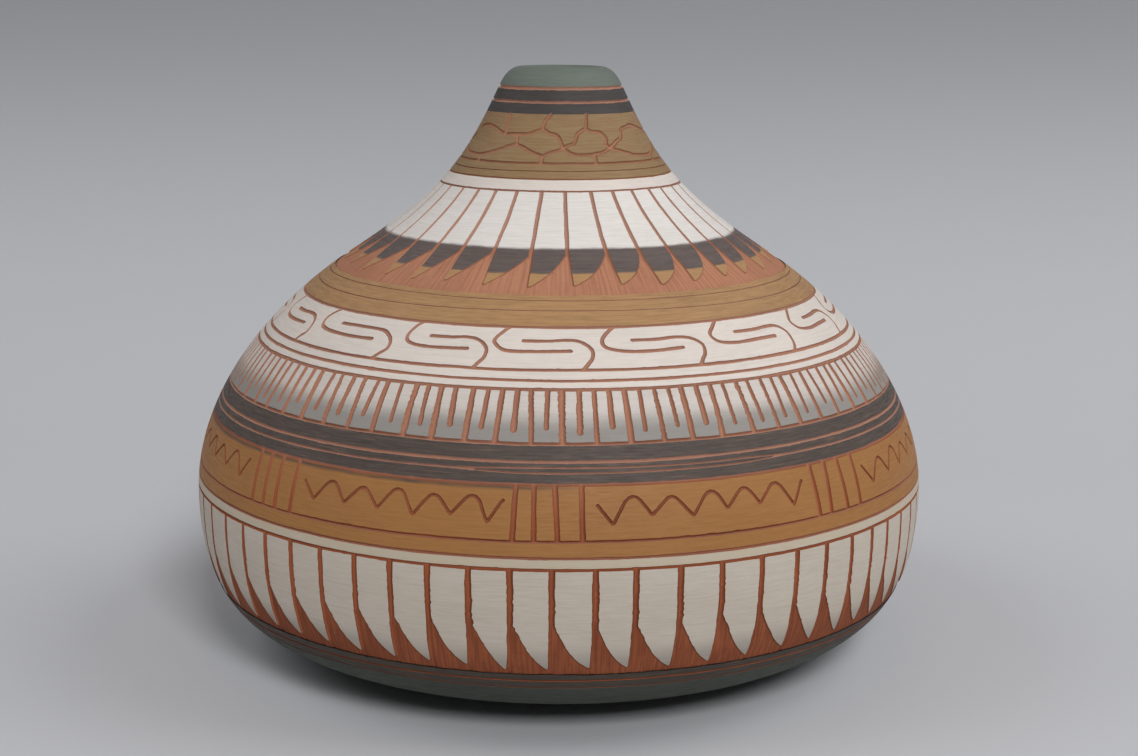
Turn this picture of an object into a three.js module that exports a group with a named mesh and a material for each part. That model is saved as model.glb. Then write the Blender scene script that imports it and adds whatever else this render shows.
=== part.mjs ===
// A round-bellied pottery vase: one hollow fired clay vessel with a narrow neck, covered with
// rings of coloured slip. The rings are divided by grooves cut through to the clay, and two of
// them end in points like rows of feathers.
// Millimetres, +Z up. The vase stands on z = 0 with the axis of the wheel on Z and its front at -Y.
import * as THREE from 'three';

// Outline of the finished vase, from the mouth over the lip and down to the foot.
const rimHeight = 150;
const mouthRadius = 8;
const lipRoll = 2;
const lipRollDepth = 2;
const neckRadius = 15.9;
const neckDrop = 5;
const neckSlope = 65;
const shoulderRadius = 55;
const shoulderHeight = 102;
const shoulderSlope = 33.5;
const bellyRadius = 95;
const bellyHeight = 42;
const footRadius = 50;
const footSlope = 14;

// How far each stretch of the outline holds its direction before it bends to the next one.
const lipHold = 3;
const neckHold = 23.5;
const neckFlareHold = 27;
const shoulderHold = 31;
const bellyHoldAbove = 20;
const bellyHoldBelow = 37.5;
const footHold = 24.5;

// The wall, the slip on it and the carving through the slip.
const wall = 5;
const floorThickness = 6;
const slipThickness = 0.5;
const seatGap = 0.3;
const grooveWidth = 1;
const paintGap = 0.3;
const bareFoot = 4;

// Widths of the rings of slip along the wall, in order from the crown of the lip down.
const rimWidth = 7.7;
const neckDarkUpperWidth = 2.7;
const neckDarkLowerWidth = 2.6;
const neckTanWidth = 12.9;
const neckTanRingWidth = 3.5;
const collarWidth = 2.7;
const shoulderFeatherWidth = 31;
const shoulderClayWidth = 3.5;
const shoulderTanWidth = 9.4;
const scrollWidth = 10.9;
const whiteUpperWidth = 1.7;
const whiteLowerWidth = 1.3;
const combWidth = 12;
const bellyDarkUpperWidth = 3;
const bellyDarkLowerWidth = 4.3;
const bellyTanWidth = 11.5;
const bellyTanRingWidth = 2.6;
const creamWidth = 1.6;
const lowerFeatherWidth = 23.8;
const lowerClayWidth = 1.9;
const baseDarkUpperWidth = 1.5;
const baseDarkLowerWidth = 1.7;

// The two rows of feathers: how many, and how long their points are. A point's edge starts at the
// notch where its feather begins, and passes places given as shares of the feather's pitch and of
// the point's length on its way to the next notch.
const shoulderFeathers = 34;
const shoulderPointLength = 10.5;
const shoulderPointEdge = [{ across: 0.1, down: 1 }];
const lowerFeathers = 64;
const lowerPointLength = 11.3;
const lowerPointEdge = [
  { across: 0.28, down: 0.6 },
  { across: 0.92, down: 1 },
  { across: 0.97, down: 0.5 },
];

// Fineness of the turned surfaces: facets round the vase, how far the straight lines between rows
// may lie off the true outline, and how far apart the places are that are tried as the next row.
const facets = 42;
const slipSag = 0.1;
const claySag = 0.15;
const insideSag = 0.4;
const rowPace = 0.2;
const floorPace = 0.05;

const bareClay = new THREE.MeshStandardMaterial({ color: '#a9745c', roughness: 0.95 });
const slip = (color, roughness = 0.75) => new THREE.MeshStandardMaterial({ color, roughness });
const greenSlip = slip('#7b857b');
const darkSlip = slip('#4a4745');
const tanSlip = slip('#a07a52');
const whiteSlip = slip('#dcd6d0');
const creamSlip = slip('#c9b79f');
const ochreSlip = slip('#a8794e');

const point = (r, z) => new THREE.Vector2(r, z);

function heading(degrees) {
  const angle = THREE.MathUtils.degToRad(degrees);
  return point(Math.cos(angle), Math.sin(angle));
}

function bend(start, startHold, startHeading, end, endHold, endHeading) {
  return new THREE.CubicBezierCurve(
    start,
    start.clone().addScaledVector(startHeading, startHold),
    end.clone().addScaledVector(endHeading, -endHold),
    end,
  );
}

// The finished surface as one smooth line in (radius, height), split at the crown of the lip.
const down = heading(-90);
const outward = heading(0);
const quarter = 0.55;
const mouthEdge = point(mouthRadius, rimHeight - lipRollDepth);
const crown = point(mouthRadius + lipRoll, rimHeight);
const neck = point(neckRadius, rimHeight - neckDrop);
const shoulder = point(shoulderRadius, shoulderHeight);
const belly = point(bellyRadius, bellyHeight);
const foot = point(footRadius, 0);
const neckHeading = heading(-neckSlope);
const shoulderHeading = heading(-shoulderSlope);
const footHeading = heading(180 + footSlope);

function joined(curves) {
  const path = new THREE.CurvePath();
  for (const curve of curves) {
    curve.arcLengthDivisions = 400;
    path.add(curve);
  }
  return path;
}

const lipInside = joined([
  bend(mouthEdge, lipRollDepth * quarter, heading(90), crown, lipRoll * quarter, outward),
]);
const lipOutside = bend(crown, lipHold, outward, neck, lipHold, neckHeading);
const neckFlare = bend(neck, neckHold, neckHeading, shoulder, neckFlareHold, shoulderHeading);
const shoulderFall = bend(shoulder, shoulderHold, shoulderHeading, belly, bellyHoldAbove, down);
const bowl = bend(belly, bellyHoldBelow, down, foot, footHold, footHeading);
const outside = joined([lipOutside, neckFlare, shoulderFall, bowl]);
const lipInsideLength = lipInside.getLength();
const outsideLength = outside.getLength();

// The point a distance along the wall from the crown, sunk into the wall by a depth.
// Distances below zero lie inside the mouth.
function onWall(along, depth) {
  const inMouth = along < 0;
  const path = inMouth ? lipInside : outside;
  const share = inMouth ? 1 + along / lipInsideLength : along / outsideLength;
  const t = THREE.MathUtils.clamp(share, 0, 1);
  const tangent = path.getTangent(t);
  return path.getPoint(t).add(point(tangent.y, -tangent.x).multiplyScalar(depth));
}

// Distances down the wall, each as far from the last as the bend of the outline allows.
function stepsDown(from, to, sag) {
  const steps = [from];
  for (let along = from + rowPace; along < to - rowPace; along += rowPace) {
    const last = steps.at(-1);
    const middle = onWall((last + along + rowPace) / 2, 0);
    const chord = onWall(last, 0).lerp(onWall(along + rowPace, 0), 0.5);
    if (middle.distanceTo(chord) > sag) {
      steps.push(along);
    }
  }
  return [...steps, to];
}

function downWall(steps, depth) {
  return steps.map((along) => onWall(along, depth));
}

// The cross-section of a layer of slip between two distances along the wall.
function slipSection(from, to) {
  const steps = stepsDown(from, to, slipSag);
  return [...downWall(steps, 0), ...downWall(steps.toReversed(), slipThickness)];
}

// A section turned about the axis. It runs clockwise, and either starts and ends on the axis or
// is closed here.
function turned(section) {
  const onAxis = section[0].x === 0;
  const profile = onAxis ? section : [...section, section[0]];
  return new THREE.LatheGeometry(profile.toReversed(), facets);
}

// A layer of slip over a patch of the wall, given as places and the faces between them. Its outer
// and inner faces are joined along every open edge.
function slipLayer(places, patch) {
  const positions = [0, slipThickness].flatMap((depth) =>
    places.flatMap(({ angle, along }) => {
      const { x: r, y: z } = onWall(along, depth);
      return [r * Math.sin(angle), z, r * Math.cos(angle)];
    }),
  );
  const openEdges = new Map();
  for (const [a, b, c] of patch) {
    for (const [start, end] of [[a, b], [b, c], [c, a]]) {
      if (!openEdges.delete(`${end} ${start}`)) {
        openEdges.set(`${start} ${end}`, [start, end]);
      }
    }
  }
  const under = places.length;
  const faces = patch.flatMap(([a, b, c]) => [a, b, c, c + under, b + under, a + under]);
  for (const [start, end] of openEdges.values()) {
    faces.push(start, start + under, end + under, start, end + under, end);
  }
  const geometry = new THREE.BufferGeometry();
  geometry.setAttribute('position', new THREE.Float32BufferAttribute(positions, 3));
  geometry.setIndex(faces);
  geometry.computeVertexNormals();
  return geometry;
}

// A ring of slip whose lower edge is a row of points: rows of places down to the notches, one
// place in each row for each feather, and then each feather's point.
function featheredSlip(from, to, feathers, pointLength, pointEdge) {
  const pitch = (2 * Math.PI) / feathers;
  const notches = to - pointLength;
  const rows = stepsDown(from, notches, slipSag);
  const lastRow = rows.length - 1;
  const places = [];
  const patch = [];
  for (let feather = 0; feather < feathers; feather += 1) {
    for (const along of rows) {
      places.push({ angle: feather * pitch, along });
    }
  }
  for (let feather = 0; feather < feathers; feather += 1) {
    const here = feather * rows.length;
    const next = ((feather + 1) % feathers) * rows.length;
    for (let row = 0; row < lastRow; row += 1) {
      patch.push([here + row, here + row + 1, next + row]);
      patch.push([next + row, here + row + 1, next + row + 1]);
    }
    const first = places.length;
    for (const { across, down: share } of pointEdge) {
      places.push({ angle: (feather + across) * pitch, along: notches + share * pointLength });
    }
    const round = [...pointEdge.map((_, i) => first + i), next + lastRow, here + lastRow];
    for (let i = 1; i + 1 < round.length; i += 1) {
      patch.push([first, round[i], round[i + 1]]);
    }
  }
  return slipLayer(places, patch);
}

const vase = new THREE.Group();
vase.rotation.x = Math.PI / 2;

function addPiece(name, geometry, material) {
  const mesh = new THREE.Mesh(geometry, material);
  mesh.name = name;
  vase.add(mesh);
}

// Lays the rings of slip one below another. A groove of bare clay follows each ring, unless
// another gap is given.
let reached = 0;

function nextRing(width, gap = grooveWidth) {
  const from = reached;
  const to = from + width;
  reached = to + gap;
  return [from, to];
}

function addRing(name, width, material, gap = grooveWidth) {
  const [from, to] = nextRing(width, gap);
  addPiece(name, turned(slipSection(from, to)), material);
}

// The rim's slip also lines the rolled lip inside the mouth.
const [, rimEnd] = nextRing(rimWidth);
const lipSteps = stepsDown(-lipInsideLength, 0, slipSag).slice(0, -1);
const rimSection = slipSection(0, rimEnd);
const lining = [
  ...downWall(lipSteps, 0),
  ...rimSection,
  ...downWall(lipSteps.toReversed(), slipThickness),
];
addPiece('rim_slip', turned(lining), greenSlip);

addRing('neck_dark_ring_upper', neckDarkUpperWidth, darkSlip);
addRing('neck_dark_ring_lower', neckDarkLowerWidth, darkSlip, paintGap);
addRing('neck_crackle_band', neckTanWidth, ochreSlip);
addRing('neck_tan_ring', neckTanRingWidth, ochreSlip);
addRing('collar_white_ring', collarWidth, whiteSlip);

const [featherTop, featherTip] = nextRing(shoulderFeatherWidth, shoulderClayWidth);
addPiece(
  'shoulder_feathers',
  featheredSlip(
    featherTop,
    featherTip,
    shoulderFeathers,
    shoulderPointLength,
    shoulderPointEdge,
  ),
  whiteSlip,
);

addRing('shoulder_tan_band', shoulderTanWidth, tanSlip);
addRing('scroll_band', scrollWidth, whiteSlip);
addRing('white_ring_upper', whiteUpperWidth, whiteSlip);
addRing('white_ring_lower', whiteLowerWidth, whiteSlip);
addRing('comb_band', combWidth, whiteSlip);
addRing('belly_dark_ring_upper', bellyDarkUpperWidth, darkSlip);
addRing('belly_dark_ring_lower', bellyDarkLowerWidth, darkSlip);
addRing('zigzag_band', bellyTanWidth, ochreSlip);
addRing('belly_tan_ring', bellyTanRingWidth, ochreSlip);
addRing('belly_cream_ring', creamWidth, creamSlip);

const [lowerFeatherTop, lowerFeatherTip] = nextRing(lowerFeatherWidth, lowerClayWidth);
addPiece(
  'lower_feathers',
  featheredSlip(
    lowerFeatherTop,
    lowerFeatherTip,
    lowerFeathers,
    lowerPointLength,
    lowerPointEdge,
  ),
  whiteSlip,
);

addRing('base_dark_ring_upper', baseDarkUpperWidth, darkSlip);
addRing('base_dark_ring_lower', baseDarkLowerWidth, darkSlip);

// The last ring takes what is left of the wall, down to the bare clay round the foot.
const footSlipEnd = outsideLength - bareFoot;
addRing('foot_slip', footSlipEnd - reached, greenSlip);

// The clay vessel: its outside lies under the slip, comes out to the finished surface at the
// bare foot, and ends in a flat face. The inside follows the outside at the wall's thickness.
const underSlip = slipThickness + seatGap;
const ledge = footSlipEnd + seatGap;
const clayOutside = [
  ...downWall(lipSteps, underSlip),
  ...downWall(stepsDown(0, ledge, claySag), underSlip),
  onWall(ledge, 0),
  foot,
];
const bore = mouthRadius + underSlip;
const lipBase = lipOutside.getLength();

function floorReach() {
  let along = lipBase;
  while (along < outsideLength && onWall(along, wall).y > floorThickness) {
    along += floorPace;
  }
  return along;
}

const insideSteps = stepsDown(lipBase, floorReach(), insideSag).toReversed();
const clayInside = downWall(insideSteps, wall).map(({ x: r, y: z }) => point(Math.max(r, bore), z));
const floorEdge = point(clayInside[0].x, floorThickness);
const claySection = [
  point(0, floorThickness),
  floorEdge,
  ...clayInside.slice(1),
  ...clayOutside,
  point(0, 0),
];
addPiece('clay_body', turned(claySection), bareClay);

export default vase;
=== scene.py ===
"""A round-bellied pottery vase, covered with rings of coloured slip and carved through to the clay.

Each ring of slip is cut as a sheet of triangles on the curved wall: the stretch of wall that keeps
its slip, less the grooves that the carver cut. The sheet then gets bevelled edges, walls down to
the clay and an underside. Lengths are metres. A place on the wall is an angle round the vase, zero
at the front and growing to the right, and a distance down the wall from the crown of the lip.
"""

import math

import bpy
import numpy as np
from bpy.props import FloatProperty, FloatVectorProperty, IntProperty, PointerProperty
from mathutils import Matrix, Vector
from mathutils.geometry import delaunay_2d_cdt
from mathutils.kdtree import KDTree


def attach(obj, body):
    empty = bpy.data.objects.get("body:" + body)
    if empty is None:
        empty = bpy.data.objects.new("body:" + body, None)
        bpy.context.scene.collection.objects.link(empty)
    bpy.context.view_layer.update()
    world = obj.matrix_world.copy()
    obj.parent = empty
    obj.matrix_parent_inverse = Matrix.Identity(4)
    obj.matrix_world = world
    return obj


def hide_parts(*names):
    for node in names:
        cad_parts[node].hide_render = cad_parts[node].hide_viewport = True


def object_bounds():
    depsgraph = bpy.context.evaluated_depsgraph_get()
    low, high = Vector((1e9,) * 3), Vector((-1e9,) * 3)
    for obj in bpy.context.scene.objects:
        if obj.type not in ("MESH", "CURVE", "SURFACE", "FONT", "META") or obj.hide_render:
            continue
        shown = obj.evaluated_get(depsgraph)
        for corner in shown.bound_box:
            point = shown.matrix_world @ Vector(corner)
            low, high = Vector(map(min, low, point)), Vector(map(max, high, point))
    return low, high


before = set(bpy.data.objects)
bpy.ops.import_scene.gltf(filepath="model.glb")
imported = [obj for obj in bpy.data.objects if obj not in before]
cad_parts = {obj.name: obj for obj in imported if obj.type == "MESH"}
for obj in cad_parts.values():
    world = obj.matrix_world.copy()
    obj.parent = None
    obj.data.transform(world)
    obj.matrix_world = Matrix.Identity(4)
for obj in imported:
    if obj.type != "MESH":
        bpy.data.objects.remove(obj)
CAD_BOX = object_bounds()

bl_info = {
    "name": "Carved Pottery Vase",
    "version": (1, 0, 0),
    "blender": (4, 5, 0),
    "location": "View3D > Sidebar > Vase",
    "description": "Builds a pottery vase with carved rings of coloured slip",
    "category": "Add Mesh",
}

MM = 0.001
TURN = 2 * math.pi

# Each ring of slip from the lip down, the slot of its finish, and the width of the groove below it.
# No width means that two colours meet there without a groove.
RINGS = (
    ("rim_slip", "green_slip", 1 * MM),
    ("neck_dark_ring_upper", "dark_slip", 0.8 * MM),
    ("neck_dark_ring_lower", "dark_slip", 0),
    ("neck_crackle_band", "ochre_slip", 0.7 * MM),
    ("neck_tan_ring", "ochre_slip", 0.5 * MM),
    ("collar_white_ring", "white_slip", 0.6 * MM),
    ("shoulder_feathers", "white_slip", 0),
    ("shoulder_tan_band", "tan_slip", 0.85 * MM),
    ("scroll_band", "white_slip", 0.9 * MM),
    ("white_ring_upper", "white_slip", 0.8 * MM),
    ("white_ring_lower", "white_slip", 0.9 * MM),
    ("comb_band", "white_slip", 0.85 * MM),
    ("belly_dark_ring_upper", "dark_slip", 0.75 * MM),
    ("belly_dark_ring_lower", "dark_slip", 0.8 * MM),
    ("zigzag_band", "ochre_slip", 0.7 * MM),
    ("belly_tan_ring", "ochre_slip", 0.65 * MM),
    ("belly_cream_ring", "cream_slip", 0.8 * MM),
    ("lower_feathers", "white_slip", 0),
    ("base_dark_ring_upper", "dark_slip", 0.6 * MM),
    ("base_dark_ring_lower", "dark_slip", 0.4 * MM),
    ("foot_slip", "green_slip", 0),
)

# The slot of each ring, and the rings from the lip down.
SLOTS = {node: slot for node, slot, _ in RINGS}
NODES = list(SLOTS)

# The rings that carry no carving of their own.
PLAIN_RINGS = (
    "collar_white_ring",
    "white_ring_upper",
    "white_ring_lower",
    "belly_dark_ring_upper",
    "belly_tan_ring",
    "belly_cream_ring",
    "base_dark_ring_upper",
    "base_dark_ring_lower",
    "foot_slip",
)

# One unit of the crackle, which comes three times round the neck: lines of places in degrees and
# millimetres below the crown of the lip. The unit is 120 degrees wide.
CRACKLE_TURN = 120
CRACKLE_TOP = 15.2
CRACKLE_BOTTOM = 28.9
CRACKLE = (
    ((-7, CRACKLE_TOP), (-11, 17.1), (-12, 19)),
    ((-40, 20.8), (-24, 20.6), (-17, 19.9), (-12, 19)),
    ((-12, 19), (-7, 20.2), (-2, 20.9), (0, 22.1), (2, 24.4)),
    ((2, 24.4), (5, 23.6), (9, 22.8), (12, 20.2), (18, 19)),
    ((18, 19), (20, CRACKLE_TOP)),
    ((18, 19), (22, 19.9), (28, 20.2), (31, 21.8), (30, 23.3), (32, 24.4)),
    ((2, 24.4), (4, 25), (8, 26), (14, 26.2), (21, 26)),
    ((21, 26), (27, 25.4), (32, 24.4)),
    ((21, 26), (20.5, CRACKLE_BOTTOM)),
    ((32, 24.4), (38, 22.9), (43, 21.8), (46, 19.8), (52, 18.9), (64, 18.9), (80, 20.8)),
    ((32, 24.4), (42, 25.8), (50, 26.8), (66, 26.9), (84, 24.5)),
    ((-36, 24.5), (-28, 23.6), (-18, 25.2), (-10, 26.7)),
    ((-10, 26.7), (-7, 25.8), (-4, 25.3), (2, 24.4)),
    ((-10, 26.7), (-10.5, CRACKLE_BOTTOM)),
    ((-30, 20.8), (-28.5, 22.4), (-28.5, 23.6)),
    ((-42, CRACKLE_TOP), (-40, 17), (-40, 20.8)),
    ((66, 26.9), (67, CRACKLE_BOTTOM)),
)

# The two grooves of one scroll, in degrees from where it starts and millimetres below the top of
# its band.
SCROLL_OUTER = (
    (0, -0.9), (-1.5, 0.9), (-2.8, 3.1), (-2.5, 4.8), (-1, 5.9), (2, 6.4), (7, 6.4), (11.4, 6.2)
)
SCROLL_INNER = (
    (2.6, 3.4), (7, 3.35), (11, 3.15), (13.4, 3.8), (15.1, 5.8), (15.2, 8.2), (14.3, 9.9), (13.2, 11.8)
)

# Where each scroll that faces the viewer starts, in degrees, and how much it is stretched.
FRONT_SCROLLS = ((-51, 1.18), (-27.3, 0.92), (-9.1, 1), (11.2, 1.085), (33.5, 1.09), (56.4, 1))

# Where the carver set the cuts that face the viewer, in degrees. The cuts round the back are
# spaced evenly between the last and the first of these.
SHOULDER_GROOVES = (-61.8, -50.4, -40, -30.2, -19.6, -8.2, 2.4, 14, 24.4, 34.6, 45, 54)
LOWER_GROOVES = (-64, -57.6, -51.8, -45.9, -40.2, -34.5, -28.6, -23, -17.5, -11.8, -6.2, -0.6)
LOWER_GROOVES += (5.2, 10.6, 16.8, 22.8, 29, 35.1, 40.8, 46.5, 51.8, 56.7, 62.2)

# The bars of one group, in degrees from the group's own middle line.
BARS = (-5.8, -3, 0, 3.4)

# The zigzag, in degrees and in millimetres below the top of its band: its start from the last bar,
# its end from the last valley, and between what depths its valleys and peaks lie. The round form of
# a peak is in degrees and millimetres from its crest.
VALLEYS = 6
ZIGZAG_START = (2.2, 3.7)
ZIGZAG_END = ((1.8, 3.4), (2.1, 3.0))
VALLEY_DEPTHS = (6.3, 7.6)
PEAK_DEPTHS = (2.0, 3.0)
CREST = ((-1.15, 1.15), (-0.55, 0.25), (0, 0), (0.55, 0.2), (1.1, 1))

# How far round the comb is turned, in degrees.
COMB_TURN = -1.6

# The groove in the lower dark ring runs at this share of the way down the ring. It parts in two
# round the front, and here and there behind. In degrees: the middle of the stretch at the front,
# half its width, and within how much of it the halves move apart. Then the width of the groove and
# of the gap between its halves.
PARTING_SHARE = 0.37
PARTING_MIDDLE = 11
PARTING_HALF = 27
PARTING_EASE = 12
PARTING_GROOVE = 0.6 * MM
PARTING_GAP = 0.9 * MM

# The photograph's viewpoint: the place, the turns in radians, and the lens and sensor in millimetres.
CAMERA_SPOT = (2.5 * MM, -477.1 * MM, 165.6 * MM)
CAMERA_PITCH = 0.2014
CAMERA_ROLL = 0.0053
CAMERA_LENS = 57.945
CAMERA_SENSOR = 36

# How far apart the places inside a sheet of slip lie.
SPACING = 2.4 * MM

# More steps of noise than any line here has, so that the noise along it doesn't repeat.
NO_REPEAT = 991

# Below these, two angles or two places count as the same, and a triangle as none.
SAME_ANGLE = 1e-6
SAME_PLACE = 0.01 * MM
NO_AREA = 1e-13


def size(name, millimetres, description):
    """A length that a user can change, given in millimetres."""
    return FloatProperty(
        name=name, description=description, default=millimetres * MM, unit="LENGTH", precision=5
    )


def slope(name, degrees, description):
    """An angle that a user can change, given in degrees."""
    return FloatProperty(
        name=name, description=description, default=math.radians(degrees), subtype="ANGLE"
    )


def position(name, spot, description):
    """A setting that is a place in the studio."""
    return FloatVectorProperty(
        name=name, description=description, default=spot, subtype="TRANSLATION", unit="LENGTH"
    )


def power(name, watts, description):
    """A setting that is the power of a lamp in watts."""
    return FloatProperty(name=name, description=description, default=watts, min=0)


def count(name, number, description, least=1):
    """A number of like things that a user can change."""
    return IntProperty(name=name, description=description, default=number, min=least)


def colour(name, red, green, blue, description):
    """A colour that a user can change, given as it looks on screen, from 0 to 255."""
    screen = np.array((red, green, blue)) / 255
    linear = np.where(screen <= 0.04045, screen / 12.92, ((screen + 0.055) / 1.055) ** 2.4)
    return FloatVectorProperty(
        name=name,
        description=description,
        default=tuple(float(part) for part in linear),
        subtype="COLOR",
        min=0,
        max=1,
    )


class VaseOutline(bpy.types.PropertyGroup):
    """The sizes of the vase's wall."""

    rim_height: FloatProperty(
        name="Rim height",
        description="Height of the crown of the lip above the foot",
        default=CAD_BOX[1].z,
        unit="LENGTH",
        precision=5,
    )
    mouth_radius: size("Mouth radius", 8, "Radius of the hole in the lip")
    lip_roll: size("Lip roll", 2, "From the mouth's edge out to the crown of the lip")
    lip_depth: size("Lip depth", 2, "From the crown down to the mouth's edge")
    lip_hold: size("Lip hold", 3, "How far the lip holds its direction")
    neck_radius: size("Neck radius", 15.9, "Radius where the lip turns into the neck")
    neck_drop: size("Neck drop", 5, "From the crown of the lip down to the neck")
    neck_slope: slope("Neck slope", 65, "Steepness of the neck under the lip")
    neck_hold: size("Neck hold", 23.5, "How far the neck holds its direction")
    neck_flare_hold: size("Neck flare hold", 27, "How far the shoulder is led up into the neck")
    shoulder_radius: size("Shoulder radius", 55, "Radius where the neck turns into the shoulder")
    shoulder_height: size("Shoulder height", 102, "Height of that turn")
    shoulder_slope: slope("Shoulder slope", 33.5, "Steepness of the wall at that turn")
    shoulder_hold: size("Shoulder hold", 31, "How far the shoulder holds its direction")
    belly_radius: size("Belly radius", 95, "Radius of the widest place")
    belly_height: size("Belly height", 42, "Height of the widest place")
    belly_hold_above: size("Belly hold above", 20, "How far the belly is led up the shoulder")
    belly_hold_below: size("Belly hold below", 37.5, "How far the belly holds its direction")
    foot_radius: size("Foot radius", 50, "Radius of the flat foot")
    foot_slope: slope("Foot slope", 14, "Steepness of the underside at the foot")
    foot_hold: size("Foot hold", 24.5, "How far the underside is led out from the foot")
    wall: size("Wall", 5, "Thickness of the clay wall")
    floor: size("Floor", 6, "Thickness of the clay floor")
    slip_thickness: size("Slip thickness", 0.56, "How deep the layers of slip go")
    clay_depth: size("Clay depth", 0.44, "How deep the grooves are cut, down to the clay")
    scraped_depth: size("Scraped depth", 0.27, "How deep the clay between the feathers is scraped")


class VaseCarving(bpy.types.PropertyGroup):
    """The sizes and counts of the carved patterns."""

    shoulder_feathers: count(
        "Shoulder feathers", 34, "Feathers round the shoulder", len(SHOULDER_GROOVES)
    )
    shoulder_point: size("Shoulder point", 10.3, "Length of a shoulder feather's point")
    shoulder_groove: size("Shoulder groove", 1.05, "Groove between two shoulder feathers")
    lower_feathers: count(
        "Lower feathers", 64, "Feathers round the belly", len(LOWER_GROOVES)
    )
    lower_point: size("Lower point", 11.3, "Length of a lower feather's point")
    lower_groove: size("Lower groove", 1.5, "Groove between two lower feathers")
    scrolls: count("Scrolls", 17, "Scrolls round the vase", len(FRONT_SCROLLS))
    scroll_groove: size("Scroll groove", 1, "Width of the grooves of the scrolls")
    comb_panels: count("Comb panels", 72, "Panels of the comb round the vase")
    comb_groove: size("Comb groove", 1.5, "Width of the grooves of the comb")
    comb_short: size("Comb short groove", 9.2, "Length of the short groove in each panel")
    bar_groups: count("Bar groups", 8, "Groups of bars round the belly")
    bar_groove: size("Bar groove", 1.3, "Width of the bars")
    zigzag_groove: size("Zigzag groove", 0.8, "Width of the zigzag line")
    crackle_groove: size("Crackle groove", 1.05, "Width of the crackle on the neck")
    scratch: size("Scratch", 0.3, "Width of the thin lines in the tan rings")
    shoulder_dark_from: size("Shoulder dark from", 55.7, "Down the wall to where the points darken")
    shoulder_tan_from: size("Shoulder tan from", 64.4, "Down the wall to the tan tips")
    comb_grey_from: size("Comb grey from", 102.4, "Down the wall to where the comb starts to grey")
    comb_grey_to: size("Comb grey to", 108.8, "Down the wall to where the comb is grey")
    lower_grey_from: size("Lower grey from", 156.5, "Down the wall to where the tips start to grey")
    lower_grey_to: size("Lower grey to", 164, "Down the wall to where the tips are grey")


class VaseColours(bpy.types.PropertyGroup):
    """The colours of the clay and the slips."""

    clay: colour("Clay", 191, 134, 104, "Bare clay on the neck and shoulder")
    clay_dark: colour("Dark clay", 154, 100, 78, "The darker places of that clay")
    deep_clay: colour("Deep clay", 172, 98, 62, "Bare clay towards the foot")
    deep_clay_dark: colour("Dark deep clay", 128, 68, 43, "The darker places of that clay")
    # Lighter clay by the slip's edges: partly the slip's dust, partly a painted highlight where light
    # catches the groove walls.
    dusty_highlight_clay: colour("Dusty clay", 196, 167, 153, "Clay with the dust of the slip on it")
    white: colour("White", 236, 230, 225, "White slip")
    warm_white: colour("Warm white", 231, 220, 211, "White slip of the scrolls and the white rings")
    comb_white: colour("Comb white", 218, 208, 201, "White slip of the comb")
    white_shade: colour("White shade", 200, 192, 182, "The streaks in the white slip")
    # The lower feathers' white and its streaks are greyer and creamier than the white above, and also
    # darkened as painted shade, because the lower belly faces away from the light.
    creamy_shaded_white: colour("Lower white", 203, 193, 181, "White slip of the lower feathers")
    creamy_shaded_streaks: colour("Lower shade", 186, 172, 153, "The streaks on the lower feathers")
    grey: colour("Grey", 137, 133, 128, "Where the comb and the lower feathers go grey")
    dark: colour("Dark", 91, 80, 74, "Dark slip")
    neck_dark: colour("Neck dark", 73, 68, 66, "Dark slip of the neck")
    shoulder_dark: colour("Shoulder dark", 106, 95, 92, "Dark slip of the shoulder's points")
    # The dark slip above the foot: a little browner than the dark above, and darker as painted shade
    # where the wall turns under.
    base_dark: colour("Base dark", 80, 69, 60, "Dark slip above the foot")
    dark_fleck: colour("Dark fleck", 124, 98, 84, "Where clay shows through the dark slip")
    dark_shade: colour("Dark shade", 58, 52, 48, "The streaks in the dark slip")
    tan: colour("Tan", 183, 142, 98, "Tan slip of the shoulder")
    tan_shade: colour("Tan shade", 150, 114, 80, "The streaks in the tan slip")
    ochre: colour("Ochre", 169, 119, 68, "Ochre slip of the belly")
    ochre_shade: colour("Ochre shade", 152, 104, 58, "The streaks in the ochre slip")
    olive: colour("Olive", 154, 127, 90, "Ochre slip of the neck")
    olive_shade: colour("Olive shade", 140, 106, 74, "The streaks on the neck")
    cream: colour("Cream", 197, 181, 156, "Cream slip")
    green: colour("Green", 112, 121, 112, "Grey-green slip")
    green_shade: colour("Green shade", 94, 103, 94, "The streaks in the green slip")
    # The grey-green slip darkened as painted shade, because the foot faces down, away from the light.
    shaded_foot_green: colour("Foot green", 70, 76, 67, "Grey-green slip round the foot")


class VaseStage(bpy.types.PropertyGroup):
    """The light and the floor."""

    floor: colour("Floor", 207, 208, 212, "The floor")
    # The paper's colour at the top of the backdrop, darker than the floor as painted shade.
    shaded_paper_top: colour("Top of the paper", 157, 158, 163, "The backdrop above the vase")
    front_lamp: position("Front lamp", (0.38, -1.42, 1.09), "Where the small soft lamp in front hangs")
    front_power: power("Front power", 15.6, "Power of the front lamp")
    front_width: size("Front width", 500, "Width of the front lamp")
    right_lamp: position("Right lamp", (1.27, 0, 1.33), "Where the wide soft lamp on the right hangs")
    right_power: power("Right power", 11.5, "Power of the right lamp")
    left_lamp: position("Left lamp", (-1.27, 0, 1.33), "Where the wide soft lamp on the left hangs")
    left_power: power("Left power", 8.1, "Power of the left lamp")
    side_width: size("Side width", 1200, "Width of the lamps at the sides")
    fill: FloatProperty(name="Fill", description="Strength of the light all round", default=0.1)


def short_way(angle):
    """The same angle, measured the short way round."""
    return (angle + math.pi) % TURN - math.pi


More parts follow.
